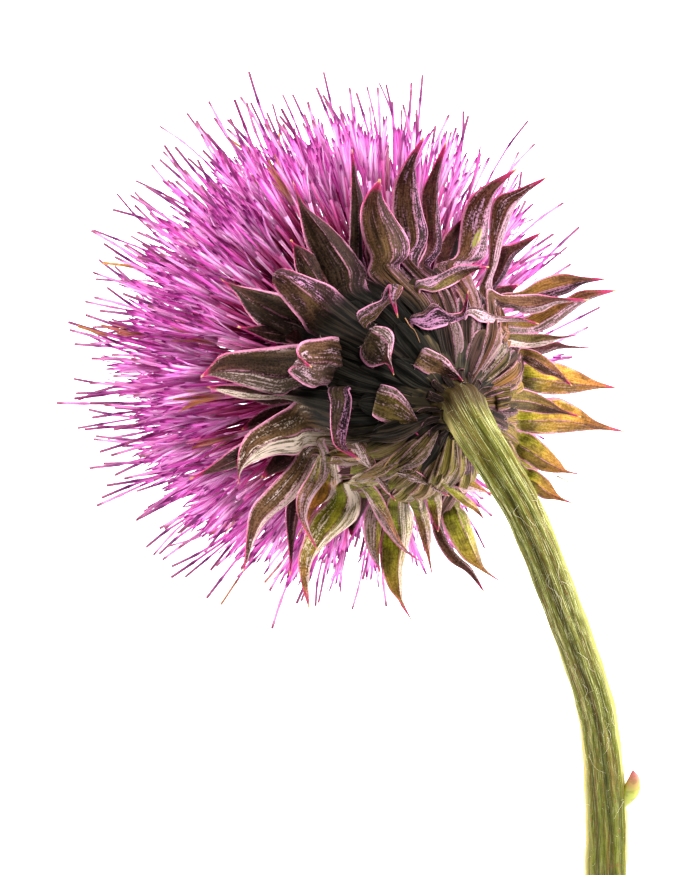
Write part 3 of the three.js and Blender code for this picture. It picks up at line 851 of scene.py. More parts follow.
# %% Bracts above the cup
DRAWN = [
    # name, root, felt on the pale half, how cream it is, felt streaks, tone, the spine's end as x
    # and y in the picture and depth along the head, and the stations: the shaded margin, the keel
    # and the pale margin, x and y each, then the keel's depth.
    ("upper left tall", "claw", 0.1, 0.1, 0.2, "dark", (293, 181, 12), [
        (336, 300, 354, 294, 369, 290, 12.2), (318, 274, 347, 270, 366, 270, 12.8),
        (306, 245, 330, 243, 350, 247, 13), (300, 220, 313, 221, 330, 226, 13),
        (297, 200, 301, 203, 305, 205, 12.6),
    ]),
    ("top edge-on", "claw", 0.2, 0, 0, "dark", (352, 149, 12.4), [
        (348, 278, 360, 276, 368, 272, 13.8), (349, 240, 357, 238, 362, 240, 14.2),
        (350, 205, 357, 205, 363, 200, 14.2), (351, 178, 354, 178, 357, 178, 13.4),
    ]),
    ("top tall", "claw", 0.65, 0, 0.4, "brown", (425, 136, 10), [
        (400, 262, 409, 262, 418, 268, 12), (398, 240, 415, 238, 428, 236, 12.8),
        (392, 212, 413, 212, 423, 212, 13), (394, 184, 412, 184, 417, 184, 12.6),
        (406, 160, 413, 162, 416, 160, 11.6),
    ]),
    ("top narrow", "claw", 0.7, 0, 0.2, "wine", (447, 140, 12), [
        (417, 270, 422, 266, 430, 270, 12.8), (426, 246, 433, 246, 441, 250, 13.2),
        (422, 220, 434, 220, 441, 226, 13.4), (421, 194, 436, 196, 438, 196, 13.2),
        (431, 171, 437, 172, 440, 172, 12.8),
    ]),
    ("top broad", "claw", 0.4, 0, 0.3, "umber", (380, 179, 10), [
        (369, 278, 388, 270, 400, 270, 10.6), (370, 258, 391, 254, 409, 254, 10.8),
        (362, 236, 386, 234, 408, 238, 11), (360, 212, 378, 212, 394, 216, 10.8),
        (366, 196, 376, 196, 383, 197, 10.4),
    ]),
    ("upper right long", "claw", 1, 0.1, 0.6, "russet", (519, 167, 10), [
        (434, 268, 452, 268, 470, 268, 10.6), (455, 257, 470, 254, 486, 256, 11.2),
        (459, 236, 478, 234, 488, 236, 11.6), (464, 208, 486, 210, 491, 208, 11.6),
        (480, 188, 494, 190, 498, 189, 11),
    ]),
    ("upper right dark", "claw", 1.1, 0.2, 0.5, "russet", (549, 176, 9.5), [
        (478, 292, 484, 290, 492, 286, 11.8), (488, 264, 491, 262, 498, 262, 12.2),
        (489, 230, 497, 232, 505, 234, 12.5), (494, 199, 509, 206, 515, 208, 11.8),
        (517, 189, 525, 192, 528, 192, 10.8),
    ]),
    ("upper right short", "claw", 0.6, 0, 0.2, "wine", (542, 232, 11), [
        (480, 300, 486, 298, 492, 298, 13), (494, 270, 500, 272, 506, 274, 13),
        (500, 247, 510, 254, 514, 258, 12.5), (512, 244, 520, 247, 524, 248, 12),
    ]),
    ("upper pink", "sunk", 1, 0.1, 0.3, "olive", (489, 267, 6), [
        (419, 291, 418, 288, 415, 284, 8), (434, 292, 431, 289, 424, 279, 7.8),
        (449, 287, 442, 281, 440, 274, 7.4), (462, 280, 456, 271, 456, 266, 7),
        (475, 271, 472, 267, 472, 264.5, 6.6),
    ]),
    ("centre pink", "sunk", 0.8, 0, 0.6, "rose", (468, 291, 1), [
        (409, 319, 409.5, 321, 411, 324, 3.6), (424, 311, 424, 314, 426, 330, 2.6),
        (434, 303, 435, 306, 443, 327, 2.2), (448, 313, 448, 315, 455, 322, 1.8),
        (461, 312, 462, 314, 465, 317, 1.5), (465, 303, 466, 303, 467.5, 303, 1.2),
    ]),
    ("centre long", "sunk", 1, 0.3, 0.5, "rose", (539, 324, 4.4), [
        (466, 310, 466, 312, 467, 316, 3.4), (480, 308, 480, 311, 480, 322, 4.2),
        (490, 314, 491, 317, 493, 323, 4.3), (503, 316.5, 503, 318, 503, 322, 4.3),
        (520, 317.5, 520, 319, 520, 321.5, 4.4),
    ]),
]
print(len(DRAWN), "bracts with drawn margins so far")

# %% [markdown]
# On the right the bracts are seen from their edge and catch the light of the side lamp.

# %% Bracts on the right
DRAWN += [
    ("right high", "claw", 0.9, 0, 0, "ochre", (607, 279, 7.5), [
        (498, 296, 498, 303, 498, 308, 9.8), (520, 291, 522, 297, 524, 304, 9.8),
        (540, 279, 544, 290, 547, 300, 9.5), (561, 273, 566, 284, 569, 293, 9),
        (582, 276.5, 583, 280, 584, 284, 8.4),
    ]),
    ("right pale", "claw", 1, 0.2, 0, "ochre", (618, 290, 7.5), [
        (503, 322, 503, 330, 503, 336, 9), (522, 318, 526, 328, 530, 334, 9),
        (545, 306, 548, 316, 552, 327, 8.8), (567, 297, 569, 302, 572, 312, 8.4),
        (583, 290, 588, 297, 590, 300, 8),
    ]),
    ("right hooked", "claw", 1.1, 0.3, 0, "russet", (590, 300, 6), [
        (486, 290, 490, 300, 497, 312, 7), (503, 295, 507, 303, 510, 308, 6.8),
        (520, 294.5, 522, 307, 524, 313.5, 6.7), (538, 294, 540, 305, 541, 312.5, 6.5),
        (556, 297, 557, 300, 558, 304, 6.3),
    ]),
    ("right olive", "claw", 1, 0.6, 0, "olive", (578, 335, 4.6), [
        (506, 336, 505, 341, 503, 346, 5.8), (525, 333.5, 525, 342, 525, 348, 5.6),
        (543, 333.5, 543, 340, 543, 346, 5.3), (560, 336, 560, 337.5, 560, 339, 5),
    ]),
    ("right magenta tip", "claw", 0.8, 0.3, 0, "wine", (593, 348, 9.2), [
        (520, 345, 520, 352, 522, 358, 11), (545, 344, 545, 349, 545, 354, 10.6),
        (557, 341.5, 557, 346, 556, 350, 10.2), (568, 345, 568, 347, 568, 348.5, 9.8),
    ]),
    ("right ochre", "claw", 0.3, 0.5, 0, "gold", (617, 388, 6.8), [
        (515, 366, 515, 376, 516, 386, 9.6), (530, 362, 531, 378, 532, 392, 9.4),
        (552, 361, 552, 381, 552, 395, 9), (575, 369, 576, 384, 577, 393, 8.4),
        (595, 380, 597, 386, 598, 389, 7.6),
    ]),
    ("right small", "claw", 0.4, 0.3, 0.2, "ochre", (572, 386, 5.6), [
        (518, 349, 518, 356, 520, 362, 7.4), (534, 350, 533, 358, 530, 366, 7),
        (550, 360, 546, 367, 543, 374, 6.4), (560, 371, 558, 374, 556, 377, 6),
    ]),
    ("right low ochre", "claw", 0.3, 0.4, 0, "gold", (626, 432, 5.6), [
        (513, 410, 513, 420, 516, 430, 9.2), (532, 402, 532, 420, 533, 434, 8.8),
        (556, 397, 556, 420, 556, 434, 8), (578, 407, 579, 423, 580, 431.5, 7.2),
        (597, 421, 599, 427, 600, 430, 6.4),
    ]),
    ("right bent", "claw", 0.05, 0.1, 0, "leaf", (581, 417, 3.6), [
        (490, 388, 492, 399, 496, 412, 4.6), (512, 387, 512, 399, 513, 410, 4.6),
        (532, 391, 531, 402, 530, 412, 4.4), (550, 400, 549, 407, 547, 414, 4.2),
        (562, 409, 561.5, 411, 561, 413.5, 3.9),
    ]),
    ("right lower", "claw", 0.15, 0.3, 0, "honey", (581, 474.5, 6), [
        (516, 430, 514, 441, 512, 452, 8.4), (531, 433, 526, 450, 522, 460, 8),
        (547, 446, 542, 460, 538, 470, 7.4), (560, 461, 557, 468, 553, 473, 6.8),
        (567, 470, 566.5, 471, 566, 473, 6.4),
    ]),
    ("right lowest", "claw", 0.15, 0.3, 0, "honey", (572, 503, 7), [
        (522, 464, 520, 472, 520, 480, 9.4), (536, 470, 534, 482, 533, 492, 9),
        (549, 480, 546, 492, 543, 499, 8.4), (559, 495, 558, 497, 556, 500, 7.6),
    ]),
]
print(len(DRAWN), "bracts with drawn margins so far")

# %% [markdown]
# On the left lie the broad ones, and some short ones turn back over the cup towards the stem.

# %% Bracts on the left and turned ones
DRAWN += [
    ("left dark", "claw", 0.3, 0.4, 0, "dark", (221, 279, 12.5), [
        (300, 300, 305, 325, 300, 345, 13.2), (278, 293, 285, 318, 282, 341, 13.6),
        (258, 289, 262, 305, 263, 330, 13.8), (242, 286, 244, 296, 247, 313, 13.6),
        (232, 284, 233, 287, 235, 293, 13),
    ]),
    ("left low sliver", "claw", 0.9, 0.9, 0, "dark", (207, 387, 12.2), [
        (290, 388, 290, 394, 290, 400, 12), (268, 390, 266, 394, 266, 400, 12.4),
        (245, 386, 244, 391, 243, 399, 12.6), (225, 385, 225, 388, 225, 394, 12.4),
    ]),
    ("left broad", "claw", 0.4, 0.6, 0, "dark", (201, 377, 10), [
        (318, 346, 318, 366, 312, 386, 10), (296, 344, 292, 376, 294, 389, 10.4),
        (270, 347, 270, 375, 280, 396, 10.8), (243, 350, 245, 370, 255, 390, 10.8),
        (222, 354, 222, 370, 228, 381, 10.6), (211, 365, 210, 373, 210, 376, 10.2),
    ]),
    ("hood", "claw", 0.28, 0, 0.35, "brown", (274, 277, 10.8), [
        (314, 336, 330, 312, 343, 296, 9.2), (300, 320, 312, 297, 332, 286, 9.2),
        (287, 305, 298, 286, 315, 279, 9.2), (277, 292, 287, 277, 299, 273, 9.4),
        (273, 284, 278, 273, 283, 268, 9.8),
    ]),
    ("left stub", "sunk", 0.35, 0.3, 0.5, "brown", (312, 367, 2.6), [
        (338, 337, 328, 361, 323, 385, 6.8), (320, 338, 316, 362, 312, 388, 5.6),
        (303, 341, 305, 361, 298, 381, 5), (297, 348, 300, 359, 288, 371, 4.4),
        (299, 356, 302, 361.5, 299, 366, 3.4),
    ]),
    ("folded stub", "sunk", 0.7, 0, 0.5, "dark", (360, 460, 3.4), [
        (329, 387, 346, 388, 350, 388, 5.8), (330, 402, 346, 402, 352, 400, 5.4),
        (330, 418, 341, 418, 350, 417, 5), (331, 433, 339, 433, 347, 432, 4.6),
        (336, 447, 341, 447, 346, 446, 4.2),
    ]),
    ("middle stub", "sunk", 0.5, 0.3, 0.3, "dark", (394, 375, 0), [
        (364, 345, 371, 332, 373, 329, 3.4), (360, 357, 380, 335, 386, 327, 2.6),
        (369, 367, 389, 344, 394, 335, 1.4), (381, 365, 389.5, 354, 392.5, 349, 0.8),
        (387, 364, 389, 363, 391, 360, 0.4),
    ]),
    ("lower stub", "sunk", 0.6, 0.2, 0.4, "olive", (432, 432, 0.6), [
        (373, 414, 379, 390, 381, 384, 2.2), (383, 422, 392, 394, 395, 388, 1.4),
        (399, 426, 404, 404, 406, 399, 0.6), (412, 426, 412.5, 415, 413, 411, 0.3),
        (418, 424, 418.5, 422.5, 419, 421, 0.3),
    ]),
    ("stem stub", "sunk", 0.6, 0.2, 0.4, "umber", (463, 381, -0.8), [
        (413, 366, 422, 352, 424, 348, 0.6), (426, 374, 433, 356, 436, 352, 0),
        (441, 379, 445.5, 363, 447, 359, -0.6), (453, 379, 453.6, 371, 454, 368, -0.9),
    ]),
    ("upper stub", "sunk", 0.8, 0.1, 0.5, "olive", (398, 318, 1.8), [
        (367, 328, 361, 322, 357, 317, 5.4), (376, 319, 370, 313, 367, 306, 5),
        (386, 306, 383, 303, 381, 300, 4.2), (398, 298, 392, 294, 384, 291, 3.4),
        (403, 288, 397, 287, 389, 285, 3), (396, 297, 393, 300, 390, 298, 2.2),
    ]),
]
print(len(DRAWN), "bracts with drawn margins so far")

# %% [markdown]
# Below, the bracts are fresher and greener, and their under halves are the palest.

# %% Bracts below
DRAWN += [
    ("lower left long", "claw", 0.75, 0.65, 0.55, "umber", (243, 572, 11.2), [
        (308, 438, 314, 452, 318, 462, 12.4), (291, 463, 301, 476, 308, 484, 12.8),
        (270, 486, 283, 499, 292, 501, 13), (251, 508, 262, 519, 268, 520, 13),
        (246.5, 532, 252, 538, 255, 540, 12.4), (245, 553, 247, 556, 249, 556, 11.8),
    ]),
    ("lower left broad", "claw", 1, 0.9, 0.6, "umber", (238, 484, 10.8), [
        (306, 396, 308, 428, 309, 446, 10.6), (288, 407, 292, 435, 297, 455, 11),
        (268, 419, 272, 440, 278, 455, 11.4), (248, 433, 254, 449, 260, 460, 11.4),
        (239, 449, 244, 462, 247, 466, 11.2), (237.5, 466, 239.5, 472, 241, 472, 11),
    ]),
    ("lower orange", "claw", 1, 0.6, 0.2, "gold", (304, 530, 13), [
        (325, 455, 333, 455, 338, 458, 11.8), (318, 478, 332, 478, 343, 478, 12.2),
        (312, 492, 326, 495, 339, 494, 12.6), (305, 508, 312, 510, 317, 504, 12.8),
    ]),
    ("lower green", "claw", 0.8, 0.9, 0.8, "green", (309, 609, 10.6), [
        (336, 482, 346, 480, 352, 480, 11.8), (327, 500, 347, 498, 361, 496, 12.2),
        (310, 518, 337, 519, 357, 519, 12.6), (303, 540, 317, 543, 332, 539, 12.4),
        (298, 560, 309, 562, 313, 560, 12), (301, 583, 307, 583, 309, 582, 11.4),
    ]),
    ("lower left inner", "claw", 0.9, 0.3, 0.9, "tan", (318, 551, 10.6), [
        (317, 436, 321, 437, 326, 438, 10.2), (319, 452, 324, 454, 331, 456, 10.4),
        (308, 475, 317, 476, 328, 476, 10.8), (297, 495, 305, 496, 314, 496, 11),
        (297, 513, 302, 514, 307, 514, 10.9), (306, 532, 308, 532, 310, 531, 10.7),
    ]),
    ("bottom green", "claw", 0.8, 0.8, 0.1, "green", (412, 621, 9.6), [
        (388, 498, 396, 498, 406, 498, 11.4), (384, 522, 397, 520, 414, 518, 11.8),
        (380, 545, 399, 545, 409, 544, 12), (381, 568, 397, 568, 403, 567, 11.6),
        (389, 589, 398, 590, 403, 588, 11), (400, 602, 401, 603, 403, 601, 10.4),
    ]),
    ("bottom folded", "claw", 0.8, 0.4, 0.5, "tan", (422, 563, 7.4), [
        (366, 474, 356, 477, 349, 481, 9.4), (380, 492, 370, 492, 362, 489, 9.2),
        (389, 511, 378, 511, 371, 507, 9), (396, 530, 388, 529, 383, 528, 8.6),
        (405, 548, 402, 548, 399, 547, 8),
    ]),
    ("bottom right brown", "claw", 0.5, 0.4, 0.2, "russet", (485, 593, 9.6), [
        (432, 520, 438, 518, 444, 520, 11.6), (436, 541, 442, 538, 448, 542, 11.4),
        (449, 561, 456, 558, 460, 557, 10.8), (467, 573, 470, 570, 472, 568, 10.2),
    ]),
    ("bottom narrow", "claw", 0.6, 0.5, 0.3, "tan", (433, 578, 8.6), [
        (406, 496, 414, 496, 424, 498, 9), (413, 512, 421, 516, 430, 516, 9),
        (419, 534, 425, 538, 431, 537, 9), (427, 556, 428.5, 557, 430, 557, 8.8),
    ]),
    ("bottom right green", "claw", 0.4, 0.3, 0, "green", (501, 582, 7.4), [
        (446, 502, 453, 500, 460, 502, 9.6), (441, 519, 457, 516, 468, 515, 9.6),
        (449, 538, 465, 535, 474, 534, 9.2), (462, 558, 474, 555, 480, 554, 8.6),
        (480, 570, 484, 570, 485, 568, 8),
    ]),
    ("bottom dark", "claw", 0.6, 0.6, 0.3, "green", (438, 532, 6), [
        (428, 482, 434, 482, 441, 482, 6.4), (426, 500, 434, 500, 442, 500, 6.3),
        (430, 514, 436, 515, 441, 513, 6.2),
    ]),
    ("under stem", "claw", 0.4, 0.4, 0, "green", (484, 519, 3.4), [
        (436, 478, 440, 478, 446, 478, 3.6), (447, 491, 450, 488, 455, 489, 3.4),
        (462, 504, 465, 501, 469, 498, 3.2), (474, 511, 475, 509, 476, 505, 3.3),
    ]),
    ("lower claw", "claw", 0.8, 0.5, 0.6, "umber", (396, 501, 4), [
        (366, 436, 362, 436, 352, 438, 4.6), (370, 448, 367, 450, 355, 458, 4.4),
        (377, 465, 374, 466, 367, 467, 4.3), (384, 480, 381, 481, 378, 482, 4.2),
        (388, 490, 386.5, 490.5, 385, 491, 4),
    ]),
    ("lower small", "claw", 0.6, 0.4, 0.4, "olive", (449, 496, 2.8), [
        (396, 466, 395, 468, 396, 471, 3.4), (412, 469, 411, 473, 408, 480, 3.2),
        (424, 476, 423, 479, 421, 483, 2.9), (435, 487, 434.5, 488, 434, 490, 2.8),
    ]),
]
print(len(DRAWN), "bracts with drawn margins")

# %% [markdown]
# A point that would lie inside the cup is lifted towards the eye until it is clear of it. A bract
# with a claw is continued along the cup, and a turned one, which hangs back over the cup, is sunk
# into its wall.

# %% Where drawn bracts begin
CLEARANCE = {"claw": 0.4, "sunk": 1.0}
CLEARING_STEP = 0.05
ROOT_DEPTH = 2.6
CLAW_ROOT_HALF = 0.5


def clear_of_cup(x, y, depth, clearance):
    """A point of the picture at a depth, or nearer to the eye where the cup is in the way."""
    while True:
        point = at_depth(x, y, depth)
        wall = cup_radius(min(depth, CUP_DEPTH))
        if depth < 0.5 or head_place(point)[0] > wall + clearance:
            return point
        depth -= CLEARING_STEP


def sunk_in_cup(point):
    """The place below the cup's wall that a turned bract grows from."""
    radius, angle, depth = head_place(point)
    level = min(max(depth, 1.5), 12)
    return on_head(min(radius, float(cup_radius(level))) - ROOT_DEPTH, angle, level)


def claw_rails(rails, level):
    """Two stations along the cup, for the shaded margin, the keel and the pale margin."""
    angle = head_place(rails[1][0])[1]
    way = round_way(angle)
    facing = math.copysign(1, (rails[2][0] - rails[0][0]) @ way)
    stations = []
    for point, half in zip(claw_line(angle, level)[0], (CLAW_ROOT_HALF, LEAST_CLAW_WIDTH / 2)):
        stations.append([point + way * facing * half * k for k in (-1, 0, 1)])
    return stations


print("drawn bracts stay clear of the cup by", CLEARANCE, "mm")

# %% [markdown]
# Each rail of a drawn bract is a spline through its root, its stations and the spine's end. The
# margins fold back from the keel by half of their distance from it, as thick leaves do.

# %% Bracts with drawn margins
SUNK_ALONG = np.concatenate([[-0.16, -0.08], np.linspace(0, 1, 28)])
DRAWN_FOLD = 0.5
SPINE_END = 0.06
SUNK_FELT = 0.85  # the least felt on a turned bract, also in the shade


def drawn_bract(heap, root, felt, cream, streaks, tone, tip, stations):
    """One bract between its own three rails."""
    rails = [[], [], []]
    for *spots, depth in stations:
        spots = [spots[0:2], spots[2:4], spots[4:6]]
        for rail, spot in zip(rails, spots):
            drop = DRAWN_FOLD * PIXEL_SIZE * math.dist(spot, spots[1])
            rail.append(clear_of_cup(*spot, depth + drop, CLEARANCE[root]))
    if root == "claw":
        before = claw_rails(rails, stations[0][-1])
        places, root_length = ALONG, 1
    else:
        before = [[sunk_in_cup(rail[0]) for rail in rails]]
        places, root_length = SUNK_ALONG, -SUNK_ALONG[0]
    on_root = (places / root_length + 1) * len(before)
    at = np.where(places < 0, on_root, len(before) + places * len(stations))
    across = unit(rails[2][-1] - rails[0][-1]) * SPINE_END
    lines = []
    for k, rail in enumerate(rails):
        line = [*(station[k] for station in before), *rail, at_depth(*tip) + across * (k - 1)]
        lines.append(spline(line, at / (len(line) - 1)))
    sides = lines[2] - lines[0]
    half = np.linalg.norm(sides, axis=1) / 2
    normal = facing_back(unit(np.cross(unit(sides), directions(lines[1]))))
    spine = np.clip((places - 0.8) / 0.14, 0, 1)
    body = 1 - spine
    thickness = BRACT_THICKNESS * body + spine * SPINE_ROUNDNESS * half
    thickness = np.minimum(thickness, BRACT_THICKNESS)
    rib = 0.1 * body * np.minimum(half, 2)
    rings, u = blade_rings(*lines, normal, thickness, BULGE * body, rib, claw_folds(places))
    strength = felt_and_painted_shade(rings, places)
    # A turned bract keeps most of its felt and gets little of the painted shade.
    if root == "sunk":
        strength = np.maximum(strength, SUNK_FELT * np.clip(1 + places * 8, 0, 1)[:, None])
    add_blade(heap, rings, u, places, tone, felt, cream, strength, streaks=[streaks])


for _, *row in DRAWN:
    drawn_bract(bract_heap, *row)
print(bract_heap.count, "points with the drawn bracts")

# %% [markdown]
# Behind the bracts that show, two more rows stand evenly round the cup. They are thin and mostly
# hidden, so a short loop with a little scatter is enough for them.

# %% Inner rows
INNER_ROWS = [
    # count, depth on the cup, reach from the axis, width
    (18, 15.2, 20.6, 3.0),
    (12, 13.4, 21.2, 3.2),
]
INNER_ALONG = np.linspace(0, 1, 16)
INNER_RISE = [(0, 0), (0.5, 0.7), (0.82, 0.9), (1, 0.6)]
INNER_OUTLINE = [(0, 0.8), (0.3, 0.95), (0.5, 1), (0.82, 0.42), (1, 0.04)]


def inner_bract(heap, angle, level, reach, width):
    """One plain bract of a hidden row."""
    wall = float(cup_radius(level))
    radii = wall - 1 + (reach - wall + 1) * INNER_ALONG
    path = on_head(radii, angle, level + through(INNER_RISE, INNER_ALONG))
    half = (through(INNER_OUTLINE, INNER_ALONG) * width / 2)[:, None]
    side, fold = round_way(angle) * half, AXIS * BRACT_FOLD * half
    normal = np.broadcast_to(-AXIS, path.shape)
    thickness = 0.5 * np.clip(half[:, 0], 0.15, 1)
    left, right = path - side + fold, path + side + fold
    rings, u = blade_rings(left, path, right, normal, thickness, 0.08, 0.06)
    # The strength 0.6 lays a little painted shade on these hidden bracts.
    add_blade(heap, rings, u, INNER_ALONG, "wine", 0, 0.3, 0.6, streaks=[0.0])


for count, level, reach, width in INNER_ROWS:
    for n in range(count):
        angle = (n + draw.uniform(-0.2, 0.2)) / count * math.tau
        own_reach = reach + draw.uniform(-1.2, 1.2)
        inner_bract(bract_heap, angle, level, own_reach, width + draw.uniform(-0.3, 0.3))
print(bract_heap.count, "points in all")

# %% [markdown]
# The outermost bracts are short scales that lie on the cup like tiles. Golden-angle steps lay
# them out without gaps. They are sunk at their foot and stand off a little at their tip. Those on
# the stem's side are rosy and felted, those below are mossy, and the shaded ones are painted
# nearly black, with painted shade laid over them too.

# %% Scales on the cup
GOLDEN_ANGLE = math.pi * (3 - math.sqrt(5))
SCALE_COUNT = 84
SCALE_ALONG = np.linspace(0, 1, 12)
SCALE_OUTLINE = [(0, 0.2), (0.2, 0.8), (0.5, 1), (0.8, 0.82), (0.93, 0.5), (1, 0.08)]
SCALE_EDGE = 0.3  # how far a scale stays below the cup's upper edge
# Felt strength outside and inside the painted shade of the cup's middle
WOOLLY, SHADED = 0.9, 0.05


def scale_tone(middle):
    """A scale's tone and felt, from where its middle lies; the black tone is painted shade."""
    x, y, _ = middle - JOINT
    if x > -1:
        return "rose", 1
    return ("moss", 0) if y < -4 else ("black", 0)


def scale(heap, angle, arc, length, width):
    """One scale along the cup's wall."""
    arcs = np.minimum(arc + length * SCALE_ALONG, CUP_ARC[-1] - SCALE_EDGE)
    radii, depths = cup_at_arc(arcs)
    lift = -0.3 + 0.95 * SCALE_ALONG**0.7
    path = on_head(radii + lift * 0.7, angle, depths - lift * 0.5)
    along = directions(path)
    side = unit(flattened(round_way(angle), along))
    normal = np.cross(side, along)
    outward = on_head(1, angle, 0) - JOINT - AXIS
    normal = np.where((normal @ outward)[:, None] < 0, -normal, normal)
    half = (through(SCALE_OUTLINE, SCALE_ALONG) * width / 2)[:, None]
    left = path - side * half - normal * 0.2 * half
    right = path + side * half - normal * 0.2 * half
    folds = 0.14 * np.clip(SCALE_ALONG * 4, 0, 1) * np.clip((1 - SCALE_ALONG) * 3, 0, 1)
    rings, u = blade_rings(left, path, right, normal, 0.4, 0.08, 0.07, folds)
    tone, felt = scale_tone(path[6])
    strength = SHADED + (WOOLLY - SHADED) * daylight(rings)
    add_blade(heap, rings, u, SCALE_ALONG * 0.6 - 0.5, tone, felt, 0.3, strength)


scale_heap = Heap()
for n in range(SCALE_COUNT):
    arc = 0.5 + 16 * ((n + 0.5) / SCALE_COUNT) ** 0.8
    scale(scale_heap, n * GOLDEN_ANGLE, arc, draw.uniform(5.5, 7.5), draw.uniform(3.0, 3.9))
print(SCALE_COUNT, "scales on the cup")

# %% [markdown]
# The last scales are so small that they look like bristles. They hide the seam between stem and
# cup.

# %% Scales at the neck
NECK_SCALES = 16
NECK_LINE = [(2.5, -1.7), (3.2, -0.6), (4.3, 0.1)]  # radius, depth


def neck_scale(heap, angle, reach, width):
    """One small scale from the stem's foot out onto the cup."""
    end = float(np.interp(reach, CUP_POINTS[:, 0], CUP_POINTS[:, 1])) - 0.5
    line = [on_head(radius, angle, depth) for radius, depth in (*NECK_LINE, (reach, end))]
    path = spline(line, SCALE_ALONG)
    way = round_way(angle)
    side = way * (through(SCALE_OUTLINE, SCALE_ALONG) * width / 2)[:, None]
    normal = facing_back(np.cross(np.broadcast_to(way, path.shape), directions(path)))
    rings, u = blade_rings(path - side, path, path + side, normal, 0.3, 0.1, 0.07)
    # The strength 0.5 lays some painted shade on them.
    add_blade(heap, rings, u, SCALE_ALONG * 0.5 - 0.3, "dark", 0, 0.6, 0.5)


for n in range(NECK_SCALES):
    angle = (n + draw.uniform(-0.3, 0.3)) / NECK_SCALES * math.tau
    neck_scale(scale_heap, angle, draw.uniform(3.8, 6.0), draw.uniform(0.6, 1.1))
print(NECK_SCALES, "scales at the neck")

# %% [markdown]
# A bract's skin changes over its length: ribbed and woolly at the claw, mottled on the blade,
# with a pink margin and keel that turn magenta and then straw-coloured in the spine. An image
# could hold that, but the attributes that the mesh carries say the same at any size. First come
# the places, masks and noises that the colours will be laid with.

# %% Bract material: what varies over it
bract = new_material("bract_skin")
mix, between, coats = bract.mix, bract.between, bract.coats
across, along, seed = bract.parts(bract.attribute("blade", "Vector"))
# strength: how bright the felt is, and where it is low, painted shade
felted, cream, strength = bract.parts(bract.attribute("look", "Vector"))
tint = bract.attribute("tint", "Color")
streaks = bract.attribute("streaks")
green_part = bract.node("ShaderNodeSeparateColor", None, {0: tint}, output="Green")
light_tone = between(green_part, 0.11, 0.28)
off = abs(across)


def own_noise(fine_across, fine_along, step, detail=2, roughness=0.5):
    """Noise that follows a bract, and differs from one bract to the next."""
    place = bract.vector(across * fine_across, along * fine_along, seed * step)
    return bract.noise(place, 1, detail, roughness)


ribs = own_noise(9, 2, 60, 4, 0.6)
streak = own_noise(12, 5.5, 90, 5, 0.62)
hue = own_noise(1.2, 2.4, 40)
cloud = own_noise(2.4, 3.2, 70)
patch = bract.noise(bract.millimetres(), 0.6)
fleck = bract.noise(bract.millimetres(), 3.8, 3, 0.7)
under_half = between(across, 0.02, 0.16)
pale_half = under_half * felted
claw = between(along, 0.12, -0.12)
print("masks of the bract's material:", len(bract.tree.nodes), "nodes")

# %% [markdown]
# The skin is built like a glaze, coat over coat, each with its own share: fresh green, the flush
# of the tip, painted shade at the blade's foot, brown patches, the fine net of light and dark,
# painted shade in the hollow of each half, the plum under half and the ribbed claw. Two bracts of
# the photograph also have a blemish, which is laid in at its place.

# %% Bract material: skin
BLEMISHES = [
    # place in the photograph, lean, half of the length and of the width, colour
    ((478, 237), 1.15, 1.7, 0.5, (186, 190, 84)),
    ((333, 485), 0.9, 0.9, 0.6, (224, 150, 60)),
]
BLEMISH_LEVEL = HEAD_LEVEL + 4


def blemish(spot, lean, half_long, half_wide):
    """The share of a blemish, full at its middle."""
    x, y, _ = bract.parts(bract.millimetres())
    centre = at_height(*spot, BLEMISH_LEVEL) - ORIGIN
    east, north = x - centre[0], y - centre[1]
    long = (east * math.cos(lean) + north * math.sin(lean)) / half_long
    wide = (north * math.cos(lean) - east * math.sin(lean)) / half_wide
    return between(long * long + wide * wide + fleck * 0.8, 1.3, 0.7) * 0.85


fresh = between(along + hue * 0.6, 0.8, 0.4) * light_tone
flush = mix(light_tone, (84, 28, 36), (172, 92, 60))
skin_colour = coats(
    tint,
    (fresh * 0.8, (146, 160, 14)),
    (between(along, 0.3, 0.85) * 0.8, flush),
    # painted shade at the blade's foot, where it leaves the claw
    (between(along, 0.3, 0) * (0.4 - light_tone * 0.3), (24, 18, 16)),
    (between(patch, 0.42, 0.6) * (0.3 + light_tone * 0.25), (64, 42, 20)),
)
net_dark = mix(0.5, skin_colour, (18, 13, 10))
net_light = mix(0.06, skin_colour, (255, 214, 176))
net = between(fleck * 0.55 + streak * 0.55, 0.46, 0.64)
khaki = between(hue, 0.5, 0.62) * between(along, 0.8, 0.4) * (0.15 + light_tone * 0.15)
# painted shade in the hollow of each half, between keel and margin
hollow_shade = between(off, 0.06, 0.4) * between(off, 0.9, 0.5) * between(cloud, 0.4, 0.6)
ridge = mix(light_tone, (82, 62, 54), (130, 106, 74))
ridge = mix(light_tone * 0.45 + 0.35, tint, ridge)
furrow = mix(light_tone, (26, 19, 17), (62, 50, 32))
skin_colour = coats(
    mix(net, net_dark, net_light),
    (khaki, (112, 96, 42)),
    (hollow_shade * (0.6 - light_tone * 0.45), (30, 21, 16)),
    (under_half * (1 - cream) * (1 - light_tone) * 0.5, (44, 22, 38)),
    (pale_half * (1 - cream) * 0.8, (28, 19, 19)),
    *((blemish(*shape), colour) for *shape, colour in BLEMISHES),
    (pale_half * cream * 0.5, (206, 184, 156)),
    (between(off, 0.12, 0.03) * 0.5, (40, 26, 20)),
    (claw * 0.85, mix(between(ribs, 0.42, 0.58), furrow, ridge)),
)
print("with the skin:", len(bract.tree.nodes), "nodes")
